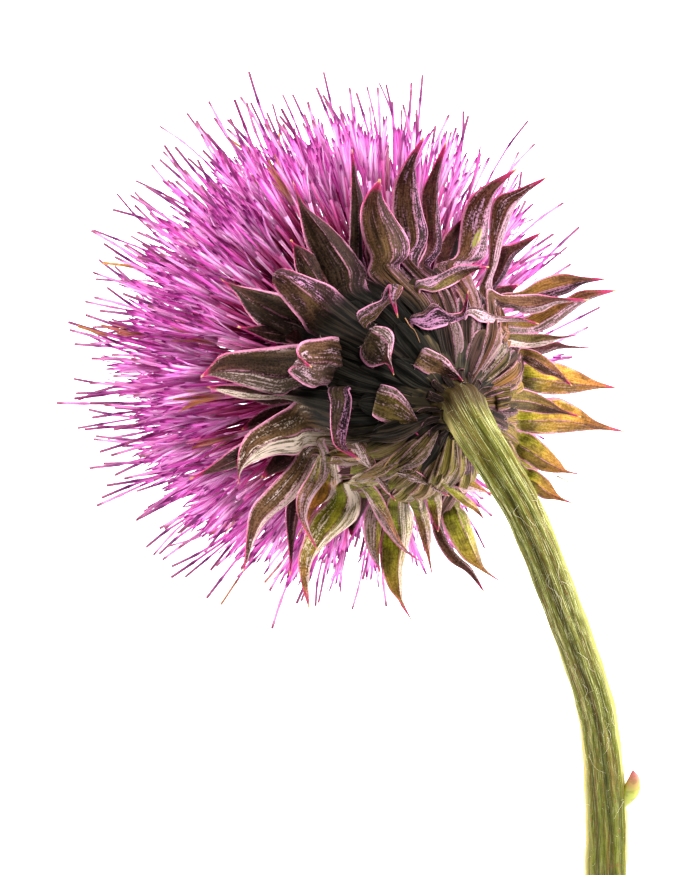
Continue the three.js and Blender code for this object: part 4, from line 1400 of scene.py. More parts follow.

# %% [markdown]
# Felt lies thickest on the pale half, at the margins and along the keel. Noise breaks it up into
# strands. Over it come the pink rim and keel, the painted shade in the cup's middle, and the spine.

# %% Bract material: felt, margins and spine
near_keel = between(off, 0.3, 0.04) * pale_half
near_margin = between(off, 0.7, 0.98)
wool = near_margin * (0.35 + pale_half * 0.4) + near_keel * 0.5 + pale_half * (0.35 + cream * 0.5)
wool = wool + streaks * between(cloud, 0.4, 0.6) * between(off, 1, 0.6) * 0.7
wool = wool + claw * between(off, 0.4, 0.95) * 0.28
grain = streak * 0.65 + fleck * 0.45
felt = between(grain + wool * 0.15, 0.6, 0.7) * between(wool, 0.02, 0.4) * strength
rim = between(off, 0.87, 0.95) * between(grain, 0.4, 0.56, 0.35, 0.9) * strength * (1 - claw * 0.75)
keel = between(off, 0.07, 0.02) * between(along, 0.95, 0.5) * between(grain, 0.48, 0.62) * 0.5
# Painted shade: near-black, faintly ribbed, laid where the strength is low.
shaded = mix(between(ribs, 0.46, 0.64), (16, 17, 14), (48, 46, 39))
bract_colour = coats(
    skin_colour,
    (felt * (0.9 - claw * 0.55), mix(cream, (192, 136, 172), (244, 228, 210))),
    (pale_half * cream * between(streak, 0.5, 0.4) * 0.8, (92, 78, 52)),
    (rim, mix(between(along, 0.4, 0.9), (230, 156, 188), (204, 56, 118))),
    (keel * strength, (226, 156, 184)),
    (between(strength, 0.75, 0.15) * 0.85, shaded),
    (between(along, 0.84, 0.94) * 0.7, (188, 52, 110)),
    (between(along, 0.95, 0.99), (228, 180, 132)),
)
relief = bract.bump(ribs * 0.6 + streak * 0.6, 0.7, 0.00025)
roughness = between(streak, 0.3, 0.7, 0.5, 0.75)
bract_skin = finish_material(bract, bract_colour, roughness, 0.12, 0.26, {"Normal": relief})
bracts = bract_heap.piece("bracts", bract_skin)
scales = scale_heap.piece("cup_scales", bract_skin)
report(bracts, scales)

# %% [markdown]
# ## Florets
# Hundreds of florets stand on a small disc and fan out to a dome. Each is a slender tube with
# five narrow, dark-tipped lobes, and out of it comes an anther tube and a long style. One floret
# could be an array along a spiral, but Geometry Nodes can place them by rule: the golden angle
# spaces them evenly, and one seed keeps every draw the same.

# %% Floret shapes
TUBE = [(-16, 0.12), (-7, 0.14), (-1.5, 0.2), (0.3, 0.25)]  # place from the throat, radius
TUBE_LENGTH = 16
TUBE_SIDES = 4
THROAT = 0.2
LOBES = (1, 0.84, 0.95, 0.76, 0.9)  # lengths as shares of the longest
LOBE_WIDTHS = [(0, 0.15), (0.5, 0.21), (0.88, 0.17), (1, 0.1)]  # place, half width
# The material paints shade along these corners, the side edges of tubes and lobes.
EDGES = [1, 0, 1, 0] * 4  # corners that the material sees as edges


def closed_tube(stations, sides):
    """Rings round a bent line: each station is x, y, z and a radius."""
    turn = steps_round(sides)
    circle = np.stack([np.cos(turn), np.sin(turn), np.zeros(sides)], -1)
    stations = np.asarray(stations, float)
    return stations[:, None, :3] + circle * stations[:, 3, None, None]


def corolla(bend, lobe_length, flare):
    """A tube that widens to a throat, with five lobes. The throat is at the origin."""
    heap = Heap()
    tube = [(bend * (z / TUBE_LENGTH) ** 2, 0, z, radius) for z, radius in TUBE]
    along = np.repeat([0, 0.35, 0.55, 0.6], TUBE_SIDES)
    heap.add(closed_tube(tube, TUBE_SIDES), along=along, edge=EDGES, lobe=[0.5])
    along = np.repeat([0.6, 0.78, 0.95, 1], TUBE_SIDES)
    for n, longer in enumerate(LOBES):
        angle = (n + 0.3 * math.sin(5 * n + bend)) / len(LOBES) * math.tau
        out = np.array([math.cos(angle), math.sin(angle), 0])
        side = np.array([-out[1], out[0], 0])
        spread = flare * (1 + 0.5 * math.sin(7 * n + 3 * bend))
        rings = []
        for share, wide in LOBE_WIDTHS:
            lean = out * (THROAT + spread * share**1.6) + side * 0.2 * bend * share**2
            middle = lean + [0, 0, lobe_length * longer * share]
            offsets = (-side * wide, out * wide * 0.2, side * wide, -out * wide * 0.6)
            rings.append([middle + offset for offset in offsets])
        heap.add(np.array(rings), along=along, edge=EDGES, lobe=[n / len(LOBES)])
    return heap


def stamen(bend, length):
    """The anther tube with the style that grows out of it."""
    profile = [
        # place from the throat, radius, place on the colour scale
        (0, 0.1, 0),
        (1.6, 0.2, 0.1),
        (5.4, 0.2, 0.34),
        (6.0, 0.16, 0.42),
        (length - 4.4, 0.16, 0.58),
        (length - 3.6, 0.23, 0.7),
        (length - 2.8, 0.19, 0.8),
        (length, 0.18, 1),
    ]
    z, radii, places = np.array(profile, float).T
    far = z / length
    line = np.stack([bend * far**2, bend * 0.4 * far**3, z, radii], -1)
    heap = Heap()
    heap.add(closed_tube(line, TUBE_SIDES), along=np.repeat(places, TUBE_SIDES))
    return heap


print("shapes of corolla and stamen ready")

# %% [markdown]
# A tree picks its shapes from a collection. A few variants are enough, because each copy is also
# turned, stretched and toned by itself. The stores are removed when the trees have run.

# %% Variants
COROLLA_FORMS = [(0.9, 7.2, 1.0), (-1.4, 7.8, 0.7), (0.3, 6.2, 1.3), (2.0, 6.8, 0.9)]
STAMEN_FORMS = [(0.5, 10.6), (-0.8, 12.4), (1.5, 11.4), (0.2, 14.2), (2.2, 13.2)]


def variants(name, heaps):
    """Small shapes in a collection of their own, for a tree to pick from."""
    store = bpy.data.collections.new(name)
    for n, heap in enumerate(heaps):
        shape = heap.piece(f"{name}_{n}", origin=0)
        scene.collection.objects.unlink(shape)
        store.objects.link(shape)
    return store


def forget(*stores):
    """Removes shapes that have done their work."""
    for store in stores:
        for shape in list(store.objects):
            bpy.data.objects.remove(shape)
        bpy.data.collections.remove(store)


corollas = variants("corolla", [corolla(*form) for form in COROLLA_FORMS])
stamens = variants("stamen", [stamen(*form) for form in STAMEN_FORMS])

# %% [markdown]
# The tree below works in the head's own frame, with z along its axis. It spreads points over the
# dome, aims each floret away from its seat on the disc, turns it about itself, and writes a tone
# on it for the material.

# %% Tree helpers
PICKS = 50  # more than any store holds; the pick starts again from the first shape


def new_tree(name, inputs):
    """A geometry tree's bench, with the wires of its named inputs."""
    tree = bpy.data.node_groups.new(name, "GeometryNodeTree")
    for way in ("OUTPUT", "INPUT"):
        tree.interface.new_socket("Geometry", in_out=way, socket_type="NodeSocketGeometry")
    for label, (kind, _) in inputs.items():
        tree.interface.new_socket(label, in_out="INPUT", socket_type=kind)
    bench = Bench(tree)
    entry = bench.node("NodeGroupInput")
    return bench, {label: entry.other(label) for label in ("Geometry", *inputs)}


def random(bench, low, high, seed):
    """A number drawn for each point."""
    sockets = {2: low, 3: high, "Seed": seed}
    return bench.node("FunctionNodeRandomValue", {"data_type": "FLOAT"}, sockets, output=1)


def turned(bench, rotation, *angles):
    """A rotation with three more turns about its own axes."""
    more = bench.node("FunctionNodeEulerToRotation", None, {0: bench.vector(*angles)})
    settings = {"rotation_space": "LOCAL"}
    return bench.node("FunctionNodeRotateRotation", settings, {0: rotation, 1: more})


def instances(bench, given, points, rotation, scale, seed):
    """One of the given shapes on each point."""
    sockets = {"Collection": given["Shapes"], "Separate Children": True, "Reset Children": True}
    shapes = bench.node("GeometryNodeCollectionInfo", None, sockets)
    sockets = {4: 0, 5: PICKS, "Seed": seed}
    pick = bench.node("FunctionNodeRandomValue", {"data_type": "INT"}, sockets, output=2)
    sockets = {
        "Points": points,
        "Instance": shapes,
        "Pick Instance": True,
        "Instance Index": pick,
        "Rotation": rotation,
        "Scale": scale,
    }
    return bench.node("GeometryNodeInstanceOnPoints", None, sockets)


def finish_tree(bench, given, placed):
    """Ends a tree with real meshes in their finish."""
    real = bench.node("GeometryNodeRealizeInstances", None, {"Geometry": placed})
    sockets = {"Geometry": real, "Material": given["Finish"]}
    real = bench.node("GeometryNodeSetMaterial", None, sockets)
    bench.node("NodeGroupOutput", None, {"Geometry": real})
    return bench.tree


print("tree helpers ready")

# %% [markdown]
# A modifier runs a tree. The mesh that it makes is kept and the modifier is dropped, so that the
# piece is a plain mesh when it is exported.

# %% Run a tree
def grown(name, tree, inputs, changes, base=None):
    """Runs a tree once and returns the plain mesh that it makes."""
    values = {label: value for label, (_, value) in inputs.items()} | changes
    holder = base or new_piece(name, np.zeros((1, 3)), [], None, {})
    modifier = holder.modifiers.new("grow", "NODES")
    modifier.node_group = tree
    for item in tree.interface.items_tree:
        if item.in_out == "INPUT" and item.name in values:
            modifier[item.identifier] = values[item.name]
    bpy.context.view_layer.update()
    deps = bpy.context.evaluated_depsgraph_get()
    mesh = bpy.data.meshes.new_from_object(holder.evaluated_get(deps), depsgraph=deps)
    holder.modifiers.remove(modifier)
    if base is None:
        bpy.data.objects.remove(holder)
    mesh.name = name
    made = bpy.data.objects.new(name, mesh)
    scene.collection.objects.link(made)
    return made


print("trees can be run")

# %% [markdown]
# The dome is a little flatter in front than at its sides, so the reach grows with the angle from
# the axis. All lengths in the tree are in metres, because it works on finished shapes.

# %% The fan's tree
FAN_INPUTS = {
    # name: kind of socket and value
    "Count": ("NodeSocketInt", 940),
    "Spread": ("NodeSocketFloat", math.radians(104)),
    "Front": ("NodeSocketFloat", 0.0180),
    "Side": ("NodeSocketFloat", 0.0244),
    "Shift right": ("NodeSocketFloat", 0.0006),
    "Shift down": ("NodeSocketFloat", -0.0010),
    "Fan depth": ("NodeSocketFloat", 0.0261),
    "Seat radius": ("NodeSocketFloat", 0.011),
    "Seat depth": ("NodeSocketFloat", 0.0185),
    "Scatter": ("NodeSocketFloat", 0.09),
    "Seed": ("NodeSocketInt", 5),
    "Shapes": ("NodeSocketCollection", None),
    "Finish": ("NodeSocketMaterial", None),
}
TURN_SCATTER = 0.06
REACH_SCATTER = (-0.0052, 0.0008)
STRETCH = (0.88, 1.06)


def fan_tree():
    """Points on the fan's dome, with a floret's shape on each."""
    bench, given = new_tree("floret_fan", FAN_INPUTS)
    count, seed = given["Count"], given["Seed"]
    points = bench.node("GeometryNodePoints", None, {"Count": count})
    index = bench.node("GeometryNodeInputIndex")
    share = (index + 0.5) / count
    angle = bench.sum("ARCCOSINE", 1 - share * (1 - bench.sum("COSINE", given["Spread"])))
    turn = index * GOLDEN_ANGLE + random(bench, -TURN_SCATTER, TURN_SCATTER, seed)
    rise = bench.between(angle, 0.25, 1.2)
    reach = given["Front"] + (given["Side"] - given["Front"]) * rise
    reach = reach + random(bench, *REACH_SCATTER, seed + 1)
    out_x, out_y = bench.sum("COSINE", turn), bench.sum("SINE", turn)
    radius = reach * bench.sum("SINE", angle)
    level = given["Fan depth"] + reach * bench.sum("COSINE", angle)
    right, down = given["Shift right"], given["Shift down"]
    mouth = bench.vector(radius * out_x + right, radius * out_y + down, level)
    seat_radius = given["Seat radius"] * angle / given["Spread"]
    seat = bench.vector(seat_radius * out_x, seat_radius * out_y, given["Seat depth"])
    stray = (random(bench, -1, 1, seed + k) * given["Scatter"] for k in (2, 3, 4))
    way = bench.vectors("NORMALIZE", bench.vectors("SUBTRACT", mouth, seat))
    way = bench.vectors("ADD", way, bench.vector(*stray))
    sockets = {"Geometry": points, "Position": mouth}
    points = bench.node("GeometryNodeSetPosition", None, sockets)
    aimed = bench.node("FunctionNodeAlignRotationToVector", {"axis": "Z"}, {"Vector": way})
    aimed = turned(bench, aimed, 0.0, 0.0, random(bench, 0.0, math.tau, seed + 5))
    scale = bench.vector(1.0, 1.0, random(bench, *STRETCH, seed + 7))
    florets = instances(bench, given, points, aimed, scale, seed + 6)
    settings = {"data_type": "FLOAT", "domain": "INSTANCE"}
    sockets = {"Geometry": florets, "Name": "tone", "Value": random(bench, 0.0, 1.0, seed + 8)}
    florets = bench.node("GeometryNodeStoreNamedAttribute", settings, sockets)
    return finish_tree(bench, given, florets)


fan = fan_tree()
print("the fan's tree has", len(fan.nodes), "nodes")

# %% [markdown]
# The petals are thin enough for light to shine through, so their share of Translucent is high.
# The colour runs along the floret, from magenta at its foot, deepened there by painted shade,
# over pale violet to a dark tip.

# %% Floret materials
COROLLA_STOPS = [
    # the darkest stops at the foot are painted shade, where the florets stand deep among the bracts
    (0.0, (54, 12, 26)),
    (0.22, (94, 24, 46)),
    (0.39, (162, 58, 98)),
    (0.54, (240, 158, 208)),
    (0.64, (254, 214, 244)),
    (0.78, (252, 210, 246)),
    (0.93, (240, 168, 228)),
    (0.96, (176, 98, 162)),
    (1.0, (138, 68, 126)),
]
STAMEN_STOPS = [
    (0.0, (236, 150, 218)),
    (0.3, (216, 124, 198)),
    (0.36, (146, 66, 134)),
    (0.42, (226, 146, 206)),
    (0.6, (200, 122, 188)),
    (0.7, (132, 62, 124)),
    (0.8, (152, 88, 142)),
    (1.0, (164, 108, 130)),
]


def along_material(name, stops, pale, deep, glow):
    """A finish whose colour runs along a floret, lighter or deeper from one to the next."""
    bench = new_material(name)
    between = bench.between
    along, tone = bench.attribute("along"), bench.attribute("tone")
    blotch = bench.noise(bench.millimetres(), 0.9)
    own = bench.sum("FRACT", tone * 7 + bench.attribute("lobe") * 3)
    light = between(own, 0.35, 0.9) * between(along, 0.97, 0.9) * between(along, 0.3, 0.6)
    edge = between(bench.attribute("edge"), 0.4, 1) * between(along, 0.97, 0.93)
    spent = between(abs(tone - 0.5), 0.012, 0.006) * between(along, 0.5, 0.8)
    colour = bench.coats(
        bench.ramp(along, stops),
        (light * 0.75, pale),
        # painted shade along the side edges
        (edge * 0.4, (190, 80, 166)),
        (between(own, 0.3, 0) * 0.5, deep),
        (between(blotch, 0.5, 0.7) * 0.15, deep),
        (spent * 0.8, (196, 158, 84)),
    )
    return finish_material(bench, colour, 0.5, 0.25, glow)


corolla_finish = along_material(
    "corolla_petal", COROLLA_STOPS, (255, 240, 253), (176, 60, 140), 0.82
)
stamen_finish = along_material("stamen", STAMEN_STOPS, (244, 190, 226), (150, 60, 120), 0.65)
print("floret materials ready")

# %% [markdown]
# The same tree makes both kinds, with fewer and wilder stamens. What hangs below the level at
# which the table holds the head up is pressed flat, but never quite onto one plane.

# %% Grow the florets
PRESS_LEVEL = 0.004
HEAD_MATRIX = np.stack([SIDEWAYS, ACROSS, AXIS])
COROLLA_CHANGES = {"Shapes": corollas, "Finish": corolla_finish}
STAMEN_CHANGES = {
    "Count": 640,
    "Scatter": 0.17,
    "Shift right": -0.0002,
    "Shapes": stamens,
    "Finish": stamen_finish,
}


def into_head(piece):
    """Moves a mesh from the head's frame to its place, and presses what the table holds up."""
    points = np.empty(len(piece.data.vertices) * 3, np.float32)
    piece.data.vertices.foreach_get("co", points)
    points = points.reshape(-1, 3) @ HEAD_MATRIX + (JOINT - ORIGIN) * MILLIMETRE
    low = points[:, 2] < PRESS_LEVEL
    points[low, 2] = PRESS_LEVEL * np.exp((points[low, 2] - PRESS_LEVEL) / PRESS_LEVEL)
    piece.data.vertices.foreach_set("co", points.astype(np.float32).ravel())
    piece.data.update()


corolla_piece = grown("corollas", fan, FAN_INPUTS, COROLLA_CHANGES)
stamen_piece = grown("stamens", fan, FAN_INPUTS, STAMEN_CHANGES)
into_head(corolla_piece)
into_head(stamen_piece)
forget(corollas, stamens)
report(corolla_piece, stamen_piece)

# %% [markdown]
# Between the florets the eye meets the dark middle of the head, a deep colour that is partly the
# florets' own and partly painted shade. A plain ball would show as one, so the core is a soft lump
# with the tubes' feet sunk into it.

# %% Core
CORE_DEPTH = 23.5
CORE_RADIUS, CORE_HALF_HEIGHT = 13.2, 6.6
CORE_LOBES, LOBE_HEIGHT = 9, 0.03


def core_material():
    """Deep wine red, partly painted shade, lighter where the tubes' feet stand."""
    bench = new_material("head_core")
    spots = bench.between(bench.noise(bench.millimetres(), 1.4, 3), 0.4, 0.65)
    return finish_material(bench, bench.mix(spots, (70, 10, 44), (170, 40, 120)), 0.7)


turn = steps_round(48)
rise = np.linspace(0, math.pi, 22)[:, None]
radius = 0.2 + CORE_RADIUS * np.sin(rise) * (1 + LOBE_HEIGHT * np.cos(CORE_LOBES * turn))
core_heap = Heap()
core_heap.add(on_head(radius, turn, CORE_DEPTH - CORE_HALF_HEIGHT * np.cos(rise)))
core = core_heap.piece("head_core", core_material())
report(core)

# %% [markdown]
# ## Stem
# The stem is one sweep with about ten ridges, finer ribs between them, and a slanting cut. It is
# thickest at its neck. A curve with a bevel would give a smooth pipe, so the rings are computed,
# and each carries how far round and how far along it lies.

# %% Stem sweep
STEM_LINE = [
    # x and y in the picture, height, radius
    (468, 417, 51.2, 2.8),
    (480, 438, 53.4, 2.62),
    (500, 469, 53.6, 2.5),
    (521, 506, 51.6, 2.45),
    (542, 553, 47.5, 2.45),
    (560, 601, 42.4, 2.45),
    (578, 649, 36.6, 2.45),
    (593, 696, 30.6, 2.45),
    (600, 736, 25.2, 2.5),
    (604, 775, 19.8, 2.62),
    (606, 815, 14.2, 2.75),
    (606, 854, 8.8, 2.85),
    (606, 900, 1.7, 2.85),
]
STEM_FOOT = [(1.1, 4.4), (0.2, 3.7), (-0.7, 3.2), (-1.9, 3.0)]  # depth on the head's axis, radius
STEM_SIDES = 80
STEM_STEPS = 240
STEM_TWIST = 0.004
RIDGES, RIDGE_DEPTH = 10, 0.12
FINE_RIBS, FINE_DEPTH = 37, 0.04


def sides_along(directions_there):
    """A side at right angles to each direction, without a twist between neighbours."""
    side, sides = ACROSS, []
    for way in directions_there:
        side = unit(flattened(side, way))
        sides.append(side)
    return np.array(sides)


def stem_rings():
    """The stem's rings, where round and along it they lie, their relief and what is outwards."""
    points = [JOINT + AXIS * depth for depth, _ in STEM_FOOT]
    points += [at_height(x, y, z) for x, y, z, _ in STEM_LINE]
    radii = [radius for *_, radius in (*STEM_FOOT, *STEM_LINE)]
    places = np.linspace(0, 1, STEM_STEPS)
    path = spline(points, places)
    along = directions(path)
    along[0] = -AXIS
    radius = np.interp(places, np.linspace(0, 1, len(radii)), radii)[:, None]
    sides = sides_along(along)
    ups = np.cross(along, sides)
    turn, s = steps_round(STEM_SIDES)[None, :], lengths_along(path)[:, None]
    twist = turn + STEM_TWIST * s
    relief = -RIDGE_DEPTH * (1 - np.cos(RIDGES * twist + 0.5 * np.sin(0.09 * s)))
    relief = relief + FINE_DEPTH * np.cos(FINE_RIBS * twist + 1.3 * np.sin(0.13 * s + 2 * turn))
    lumps = 0.05 * np.sin(0.31 * s + 3 * turn) + 0.04 * np.sin(0.83 * s - 2 * turn)
    reach = (radius + relief + lumps)[..., None]
    out = sides[:, None] * np.cos(turn)[..., None] + ups[:, None] * np.sin(turn)[..., None]
    rings = path[:, None] + out * reach
    rings[..., 2] = np.maximum(rings[..., 2], 0)
    return rings, *np.broadcast_arrays(turn, s, relief), unit(rings - path[:, None])


stem_skin, turn, length, relief, stem_outward = stem_rings()
print("stem", round(float(length.max()), 1), "mm long")

# %% [markdown]
# The rind is olive. Noise that is stretched along the stem gives pale and dark fibres, the
# ridges' hollows get painted shade, and the two edges that the light grazes get painted light.

# %% Stem material
def stem_material():
    """Olive rind with pale ribs, dark grooves and brown streaks, painted shade in the ridges'
    hollows and painted light on both edges.
    """
    bench = new_material("stem_rind")
    between = bench.between
    cosine, sine, along = bench.parts(bench.attribute("rind", "Vector"))
    relief, rightward, _ = bench.parts(bench.attribute("light", "Vector"))
    fine = bench.noise(bench.vector(cosine * 34, sine * 34, along * 0.3), 1, 4, 0.6)
    wide = bench.noise(bench.vector(cosine * 7, sine * 7, along * 0.07), 1, 2)
    spots = bench.noise(bench.millimetres(), 1.6, 2)
    grit = bench.noise(bench.millimetres(), 3.6, 3, 0.7)
    body = bench.coats(
        bench.mix(between(along, 40, 66), (112, 112, 46), (104, 108, 28)),
        # painted shade in the ridges' hollows
        (between(relief, -0.1, -0.24) * 0.7, (64, 62, 20)),
        (between(wide, 0.48, 0.62) * 0.6, (112, 82, 38)),
        (between(fine, 0.55, 0.62) * between(along, 90, 30, 0.15, 0.75), (208, 208, 156)),
        (between(fine, 0.48, 0.38) * 0.75, (42, 46, 16)),
        (between(grit, 0.5, 0.66) * 0.35, (60, 58, 20)),
        (between(spots, 0.66, 0.72) * 0.7, (120, 76, 44)),
        (between(along + fine * 8, 12.5, 8) * 0.85, (66, 48, 32)),
        # painted light on the right and the left edge
        (between(rightward, 0.84, 0.99) * 0.6, (196, 194, 110)),
        (between(rightward, -0.86, -0.99) * 0.6, (204, 188, 122)),
    )
    bump = bench.bump(fine * 0.8 + spots * 0.3, 0.6)
    return finish_material(bench, body, 0.6, 0.12, 0.14, {"Normal": bump})


stem_heap = Heap()
stem_heap.add(
    stem_skin,
    rind=np.stack([np.cos(turn), np.sin(turn), length], -1),
    # relief and outward direction, for the painted shade and the painted light
    light=np.stack([relief, stem_outward[..., 0], stem_outward[..., 2]], -1),
)
stem = stem_heap.piece("stem_stalk", stem_material())
report(stem)

# %% [markdown]
# A small lobe of a leaf's foot is left near the cut. It grows out of the stem, so its root is
# sunk into it.

# %% Leaf remnant
REMNANT_LINE = [
    # x and y in the picture, height
    (606, 808, 15.6),
    (618, 803, 16.4),
    (630, 792, 18.2),
    (634, 780, 19.8),
    (633, 770, 21),
]
REMNANT_OUTLINE = [(0, 0.9), (0.35, 1.25), (0.7, 0.95), (0.9, 0.45), (1, 0.06)]
REMNANT_FLATNESS = 0.62
REMNANT_STOPS = [
    (0, (150, 150, 60)),
    (0.55, (190, 196, 90)),
    (0.8, (206, 150, 120)),
    (1, (200, 110, 130)),
]


def remnant_material():
    """Yellow-green with a pink point."""
    bench = new_material("leaf_remnant")
    mottle = bench.between(bench.noise(bench.millimetres(), 1.2), 0.45, 0.65) * 0.35
    colour = bench.mix(mottle, bench.ramp(bench.attribute("along"), REMNANT_STOPS), (112, 108, 44))
    return finish_material(bench, colour, 0.55, glow=0.3)


places = np.linspace(0, 1, 20)
path = spline([at_height(*point) for point in REMNANT_LINE], places)
along = directions(path)
side = unit(flattened(np.array([1.0, 0, 0]), along))
up = np.cross(along, side) * REMNANT_FLATNESS
half = through(REMNANT_OUTLINE, places)[:, None, None]
turn = steps_round(16)[:, None]
rings = path[:, None] + half * (side[:, None] * np.cos(turn) + up[:, None] * np.sin(turn))
remnant_heap = Heap()
remnant_heap.add(rings, along=np.broadcast_to(places[:, None], rings.shape[:2]))
remnant = remnant_heap.piece("leaf_remnant", remnant_material())
report(remnant)

# %% [markdown]
# ## Wool
# Thistles carry cobwebby hairs. A hair system would be left out of the exported model, so each
# hair is a thin closed strip that a tree spreads over the skin, and all of them become one mesh.
# On the bracts, the mesh's own attributes keep the hairs to the lit margins.

# %% Hair shapes and tree
WOOL_INPUTS = {
    "Density": ("NodeSocketFloat", 1.0),
    "Lean": ("NodeSocketFloat", 1.2),
    "Margins": ("NodeSocketFloat", 0.0),
    "Seed": ("NodeSocketInt", 3),
    "Shapes": ("NodeSocketCollection", None),
    "Finish": ("NodeSocketMaterial", None),
}
HAIR_SIZES = (0.6, 1.3)


def hair(length, curl, thick):
    """A curved hair that stands on the origin along z."""
    s = np.array([0, 0.35, 0.7, 1])
    height = s * length * (1 - abs(curl) * 0.35 * s)
    bent = curl * s**2 * length
    heap = Heap()
    heap.add(closed_tube(np.stack([bent, bent * 0.4 * s, height, thick * (1 - 0.6 * s)], -1), 3))
    return heap


def carried(bench, name):
    """The three numbers of an attribute, inside a geometry tree."""
    settings = {"data_type": "FLOAT_VECTOR"}
    return bench.parts(bench.node("GeometryNodeInputNamedAttribute", settings, {"Name": name}))


def wool_tree():
    """Hairs spread over a skin, each leaning its own way."""
    bench, given = new_tree("wool", WOOL_INPUTS)
    seed, lean = given["Seed"], given["Lean"]
    across, along, _ = carried(bench, "blade")
    strength = carried(bench, "look")[2]
    on_margin = bench.between(abs(across), 0.84, 0.94) * bench.between(along, 0.9, 0.8)
    on_margin = on_margin * bench.between(strength, 0.4, 0.8)
    density = given["Density"] * (1 - given["Margins"] * (1 - on_margin))
    sockets = {"Mesh": given["Geometry"], "Density": density, "Seed": seed}
    points = bench.node("GeometryNodeDistributePointsOnFaces", None, sockets)
    leans = (random(bench, -1.0, 1.0, seed + k) * lean for k in (1, 2))
    spin = random(bench, 0.0, math.tau, seed + 3)
    aimed = turned(bench, points.other("Rotation"), *leans, spin)
    size = random(bench, *HAIR_SIZES, seed + 5)
    scale = bench.vector(size, size, size)
    return finish_tree(bench, given, instances(bench, given, points, aimed, scale, seed + 4))


wool = wool_tree()
print("the wool's tree has", len(wool.nodes), "nodes")

# %% [markdown]
# The same tree serves stem and bracts with other values, just as a named modifier would. Its
# density is counted in hairs for each square metre.

# %% Grow the wool
STEM_HAIRS = [(0.5, 0.9, 0.016), (0.8, -1.0, 0.016), (0.35, 0.6, 0.016)]  # length, curl, thickness
BRACT_HAIRS = [(0.35, 0.5, 0.018), (0.45, -0.7, 0.018), (0.28, 0.3, 0.018)]


def wool_material(name, colour):
    """Pale, soft hair."""
    bench = new_material(name)
    tone = bench.between(bench.noise(bench.millimetres(), 0.8), 0.4, 0.6) * 0.5
    return finish_material(bench, bench.mix(tone, colour, (236, 226, 214)), 0.6, glow=0.3)


stem_hairs = variants("stem_hair", [hair(*form) for form in STEM_HAIRS])
bract_hairs = variants("bract_hair", [hair(*form) for form in BRACT_HAIRS])
stem_changes = {
    "Density": 0.25e6,
    "Lean": 1.4,
    "Seed": 3,
    "Shapes": stem_hairs,
    "Finish": wool_material("stem_wool", (196, 190, 140)),
}
bract_changes = {
    "Density": 2.4e6,
    "Lean": 1.35,
    "Margins": 1.0,
    "Seed": 9,
    "Shapes": bract_hairs,
    "Finish": wool_material("bract_wool", (212, 176, 176)),
}
stem_wool = grown("stem_wool", wool, WOOL_INPUTS, stem_changes, stem)
bract_wool = grown("bract_wool", wool, WOOL_INPUTS, bract_changes, bracts)
forget(stem_hairs, bract_hairs)
report(stem_wool, bract_wool)

# %% [markdown]
# Some threads of the wool are longer and cling to the stem. Each wanders over the skin's own
# rings, a little above them.

# %% Threads
THREADS = 64
THREAD_KNOT = 0.57  # where along the stem most of them cling
THREAD_SCATTER = 0.13
THREAD_LIFT = 0.06
THREAD_THICKNESS = 0.024
THREAD_WANDER = 2.2  # in columns of the stem's skin


def thread(heap, line, thick, **notes):
    """A thin round line through points."""
    path = spline(line, np.linspace(0, 1, 3 * len(line)))
    way = directions(path)
    side = unit(flattened(np.array([0.9, 0.3, 0.3]), way))
    up = np.cross(way, side)
    turn = steps_round(3)[:, None]
    circle = side[:, None] * np.cos(turn) + up[:, None] * np.sin(turn)
    thicknesses = np.linspace(thick, thick * 0.4, len(path))[:, None, None]
    heap.add(path[:, None] + circle * thicknesses, **notes)


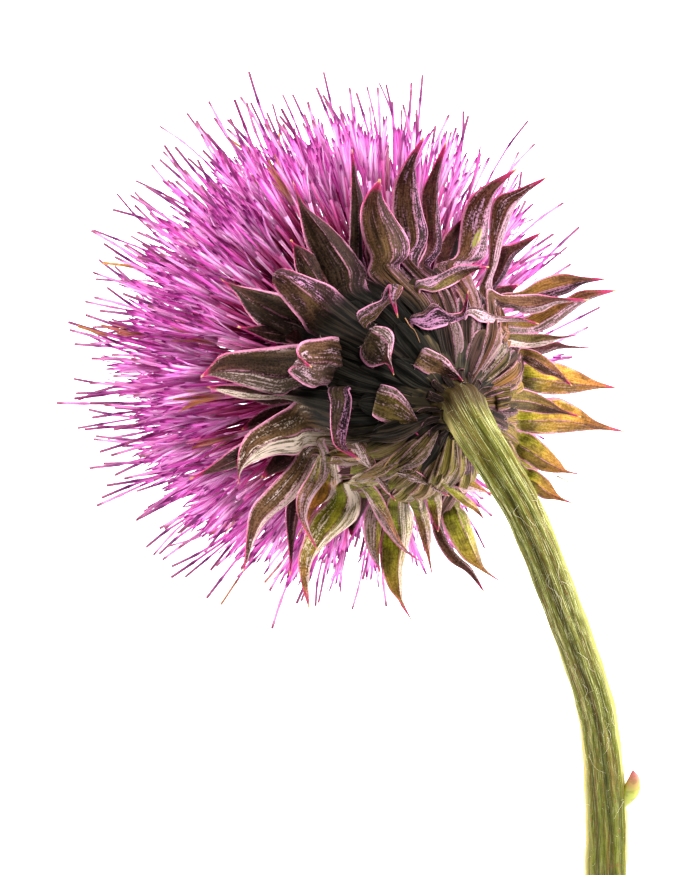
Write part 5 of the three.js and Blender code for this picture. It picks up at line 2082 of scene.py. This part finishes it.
thread_heap = Heap()
for n in range(THREADS):
    start = np.clip(draw.normal(THREAD_KNOT, THREAD_SCATTER), 0.06, 0.9)
    first = int(start * STEM_STEPS)
    rows = np.arange(first, min(first + draw.integers(4, 13), STEM_STEPS - 1), 2)
    columns = draw.uniform(0, STEM_SIDES) + np.cumsum(draw.normal(0, THREAD_WANDER, len(rows)))
    columns = columns.astype(int) % STEM_SIDES
    line = stem_skin[rows, columns] + stem_outward[rows, columns] * THREAD_LIFT
    thread(thread_heap, line, THREAD_THICKNESS)
threads = thread_heap.piece("stem_threads", wool_material("threads", (226, 218, 184)))
report(threads)

# %% [markdown]
# A few loose styles and old spines are caught between the bracts. They are thin lines like the
# threads, and each carries its own colour.

# %% Strays
STRAYS = [
    # points as x and y in the picture and depth along the head, thickness, colour
    ([(557, 476, 8), (565, 480, 7.6), (573, 485, 7.4)], 0.12, (176, 132, 60)),
    ([(553, 357, 9.6), (565, 356.5, 9.4), (576, 356, 9.2)], 0.13, (176, 70, 160)),
    ([(405, 318, 3), (410, 326, 2.2), (415, 331, 1.8), (420, 343, 1.6)], 0.08, (176, 132, 92)),
    ([(383, 468, 2.2), (389, 460, 1.8), (397, 452, 1.6)], 0.09, (170, 134, 84)),
    ([(412, 430, 2), (417, 434, 1.4), (422, 438, 1)], 0.16, (196, 60, 120)),
]
STRAY_CLEARANCE = 0.6


def stray_material():
    """Each stray's own colour."""
    bench = new_material("strays")
    return finish_material(bench, bench.attribute("tint", "Color"), 0.6, glow=0.3)


stray_heap = Heap()
for spots, thick, colour in STRAYS:
    line = [clear_of_cup(*spot, STRAY_CLEARANCE) for spot in spots]
    thread(stray_heap, line, thick, tint=shade(*colour)[:3])
strays = stray_heap.piece("strays", stray_material())
report(strays)

# %% [markdown]
# ## Join the frame
# Each piece is listed with the solid that it stands for and the material slot of the record that
# its finish belongs to. It is attached to the root body, and that solid is hidden.

# %% Frame calls
PIECES = [
    (stem, "stem", "stem"),
    (remnant, "stem", "stem"),
    (stem_wool, "stem", "stem"),
    (threads, "stem", "stem"),
    (cup, "involucre", "bract"),
    (bracts, "involucre", "bract"),
    (scales, "involucre", "bract"),
    (bract_wool, "involucre", "bract"),
    (strays, "involucre", "bract"),
    (core, "florets", "floret"),
    (corolla_piece, "florets", "floret"),
    (stamen_piece, "florets", "floret"),
]
for piece, node, slot in PIECES:
    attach(piece, "root")
    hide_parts(node)
print(len(PIECES), "pieces")

# %% [markdown]
# Last, the scene is brought up to date.

# %% End
bpy.context.view_layer.update()
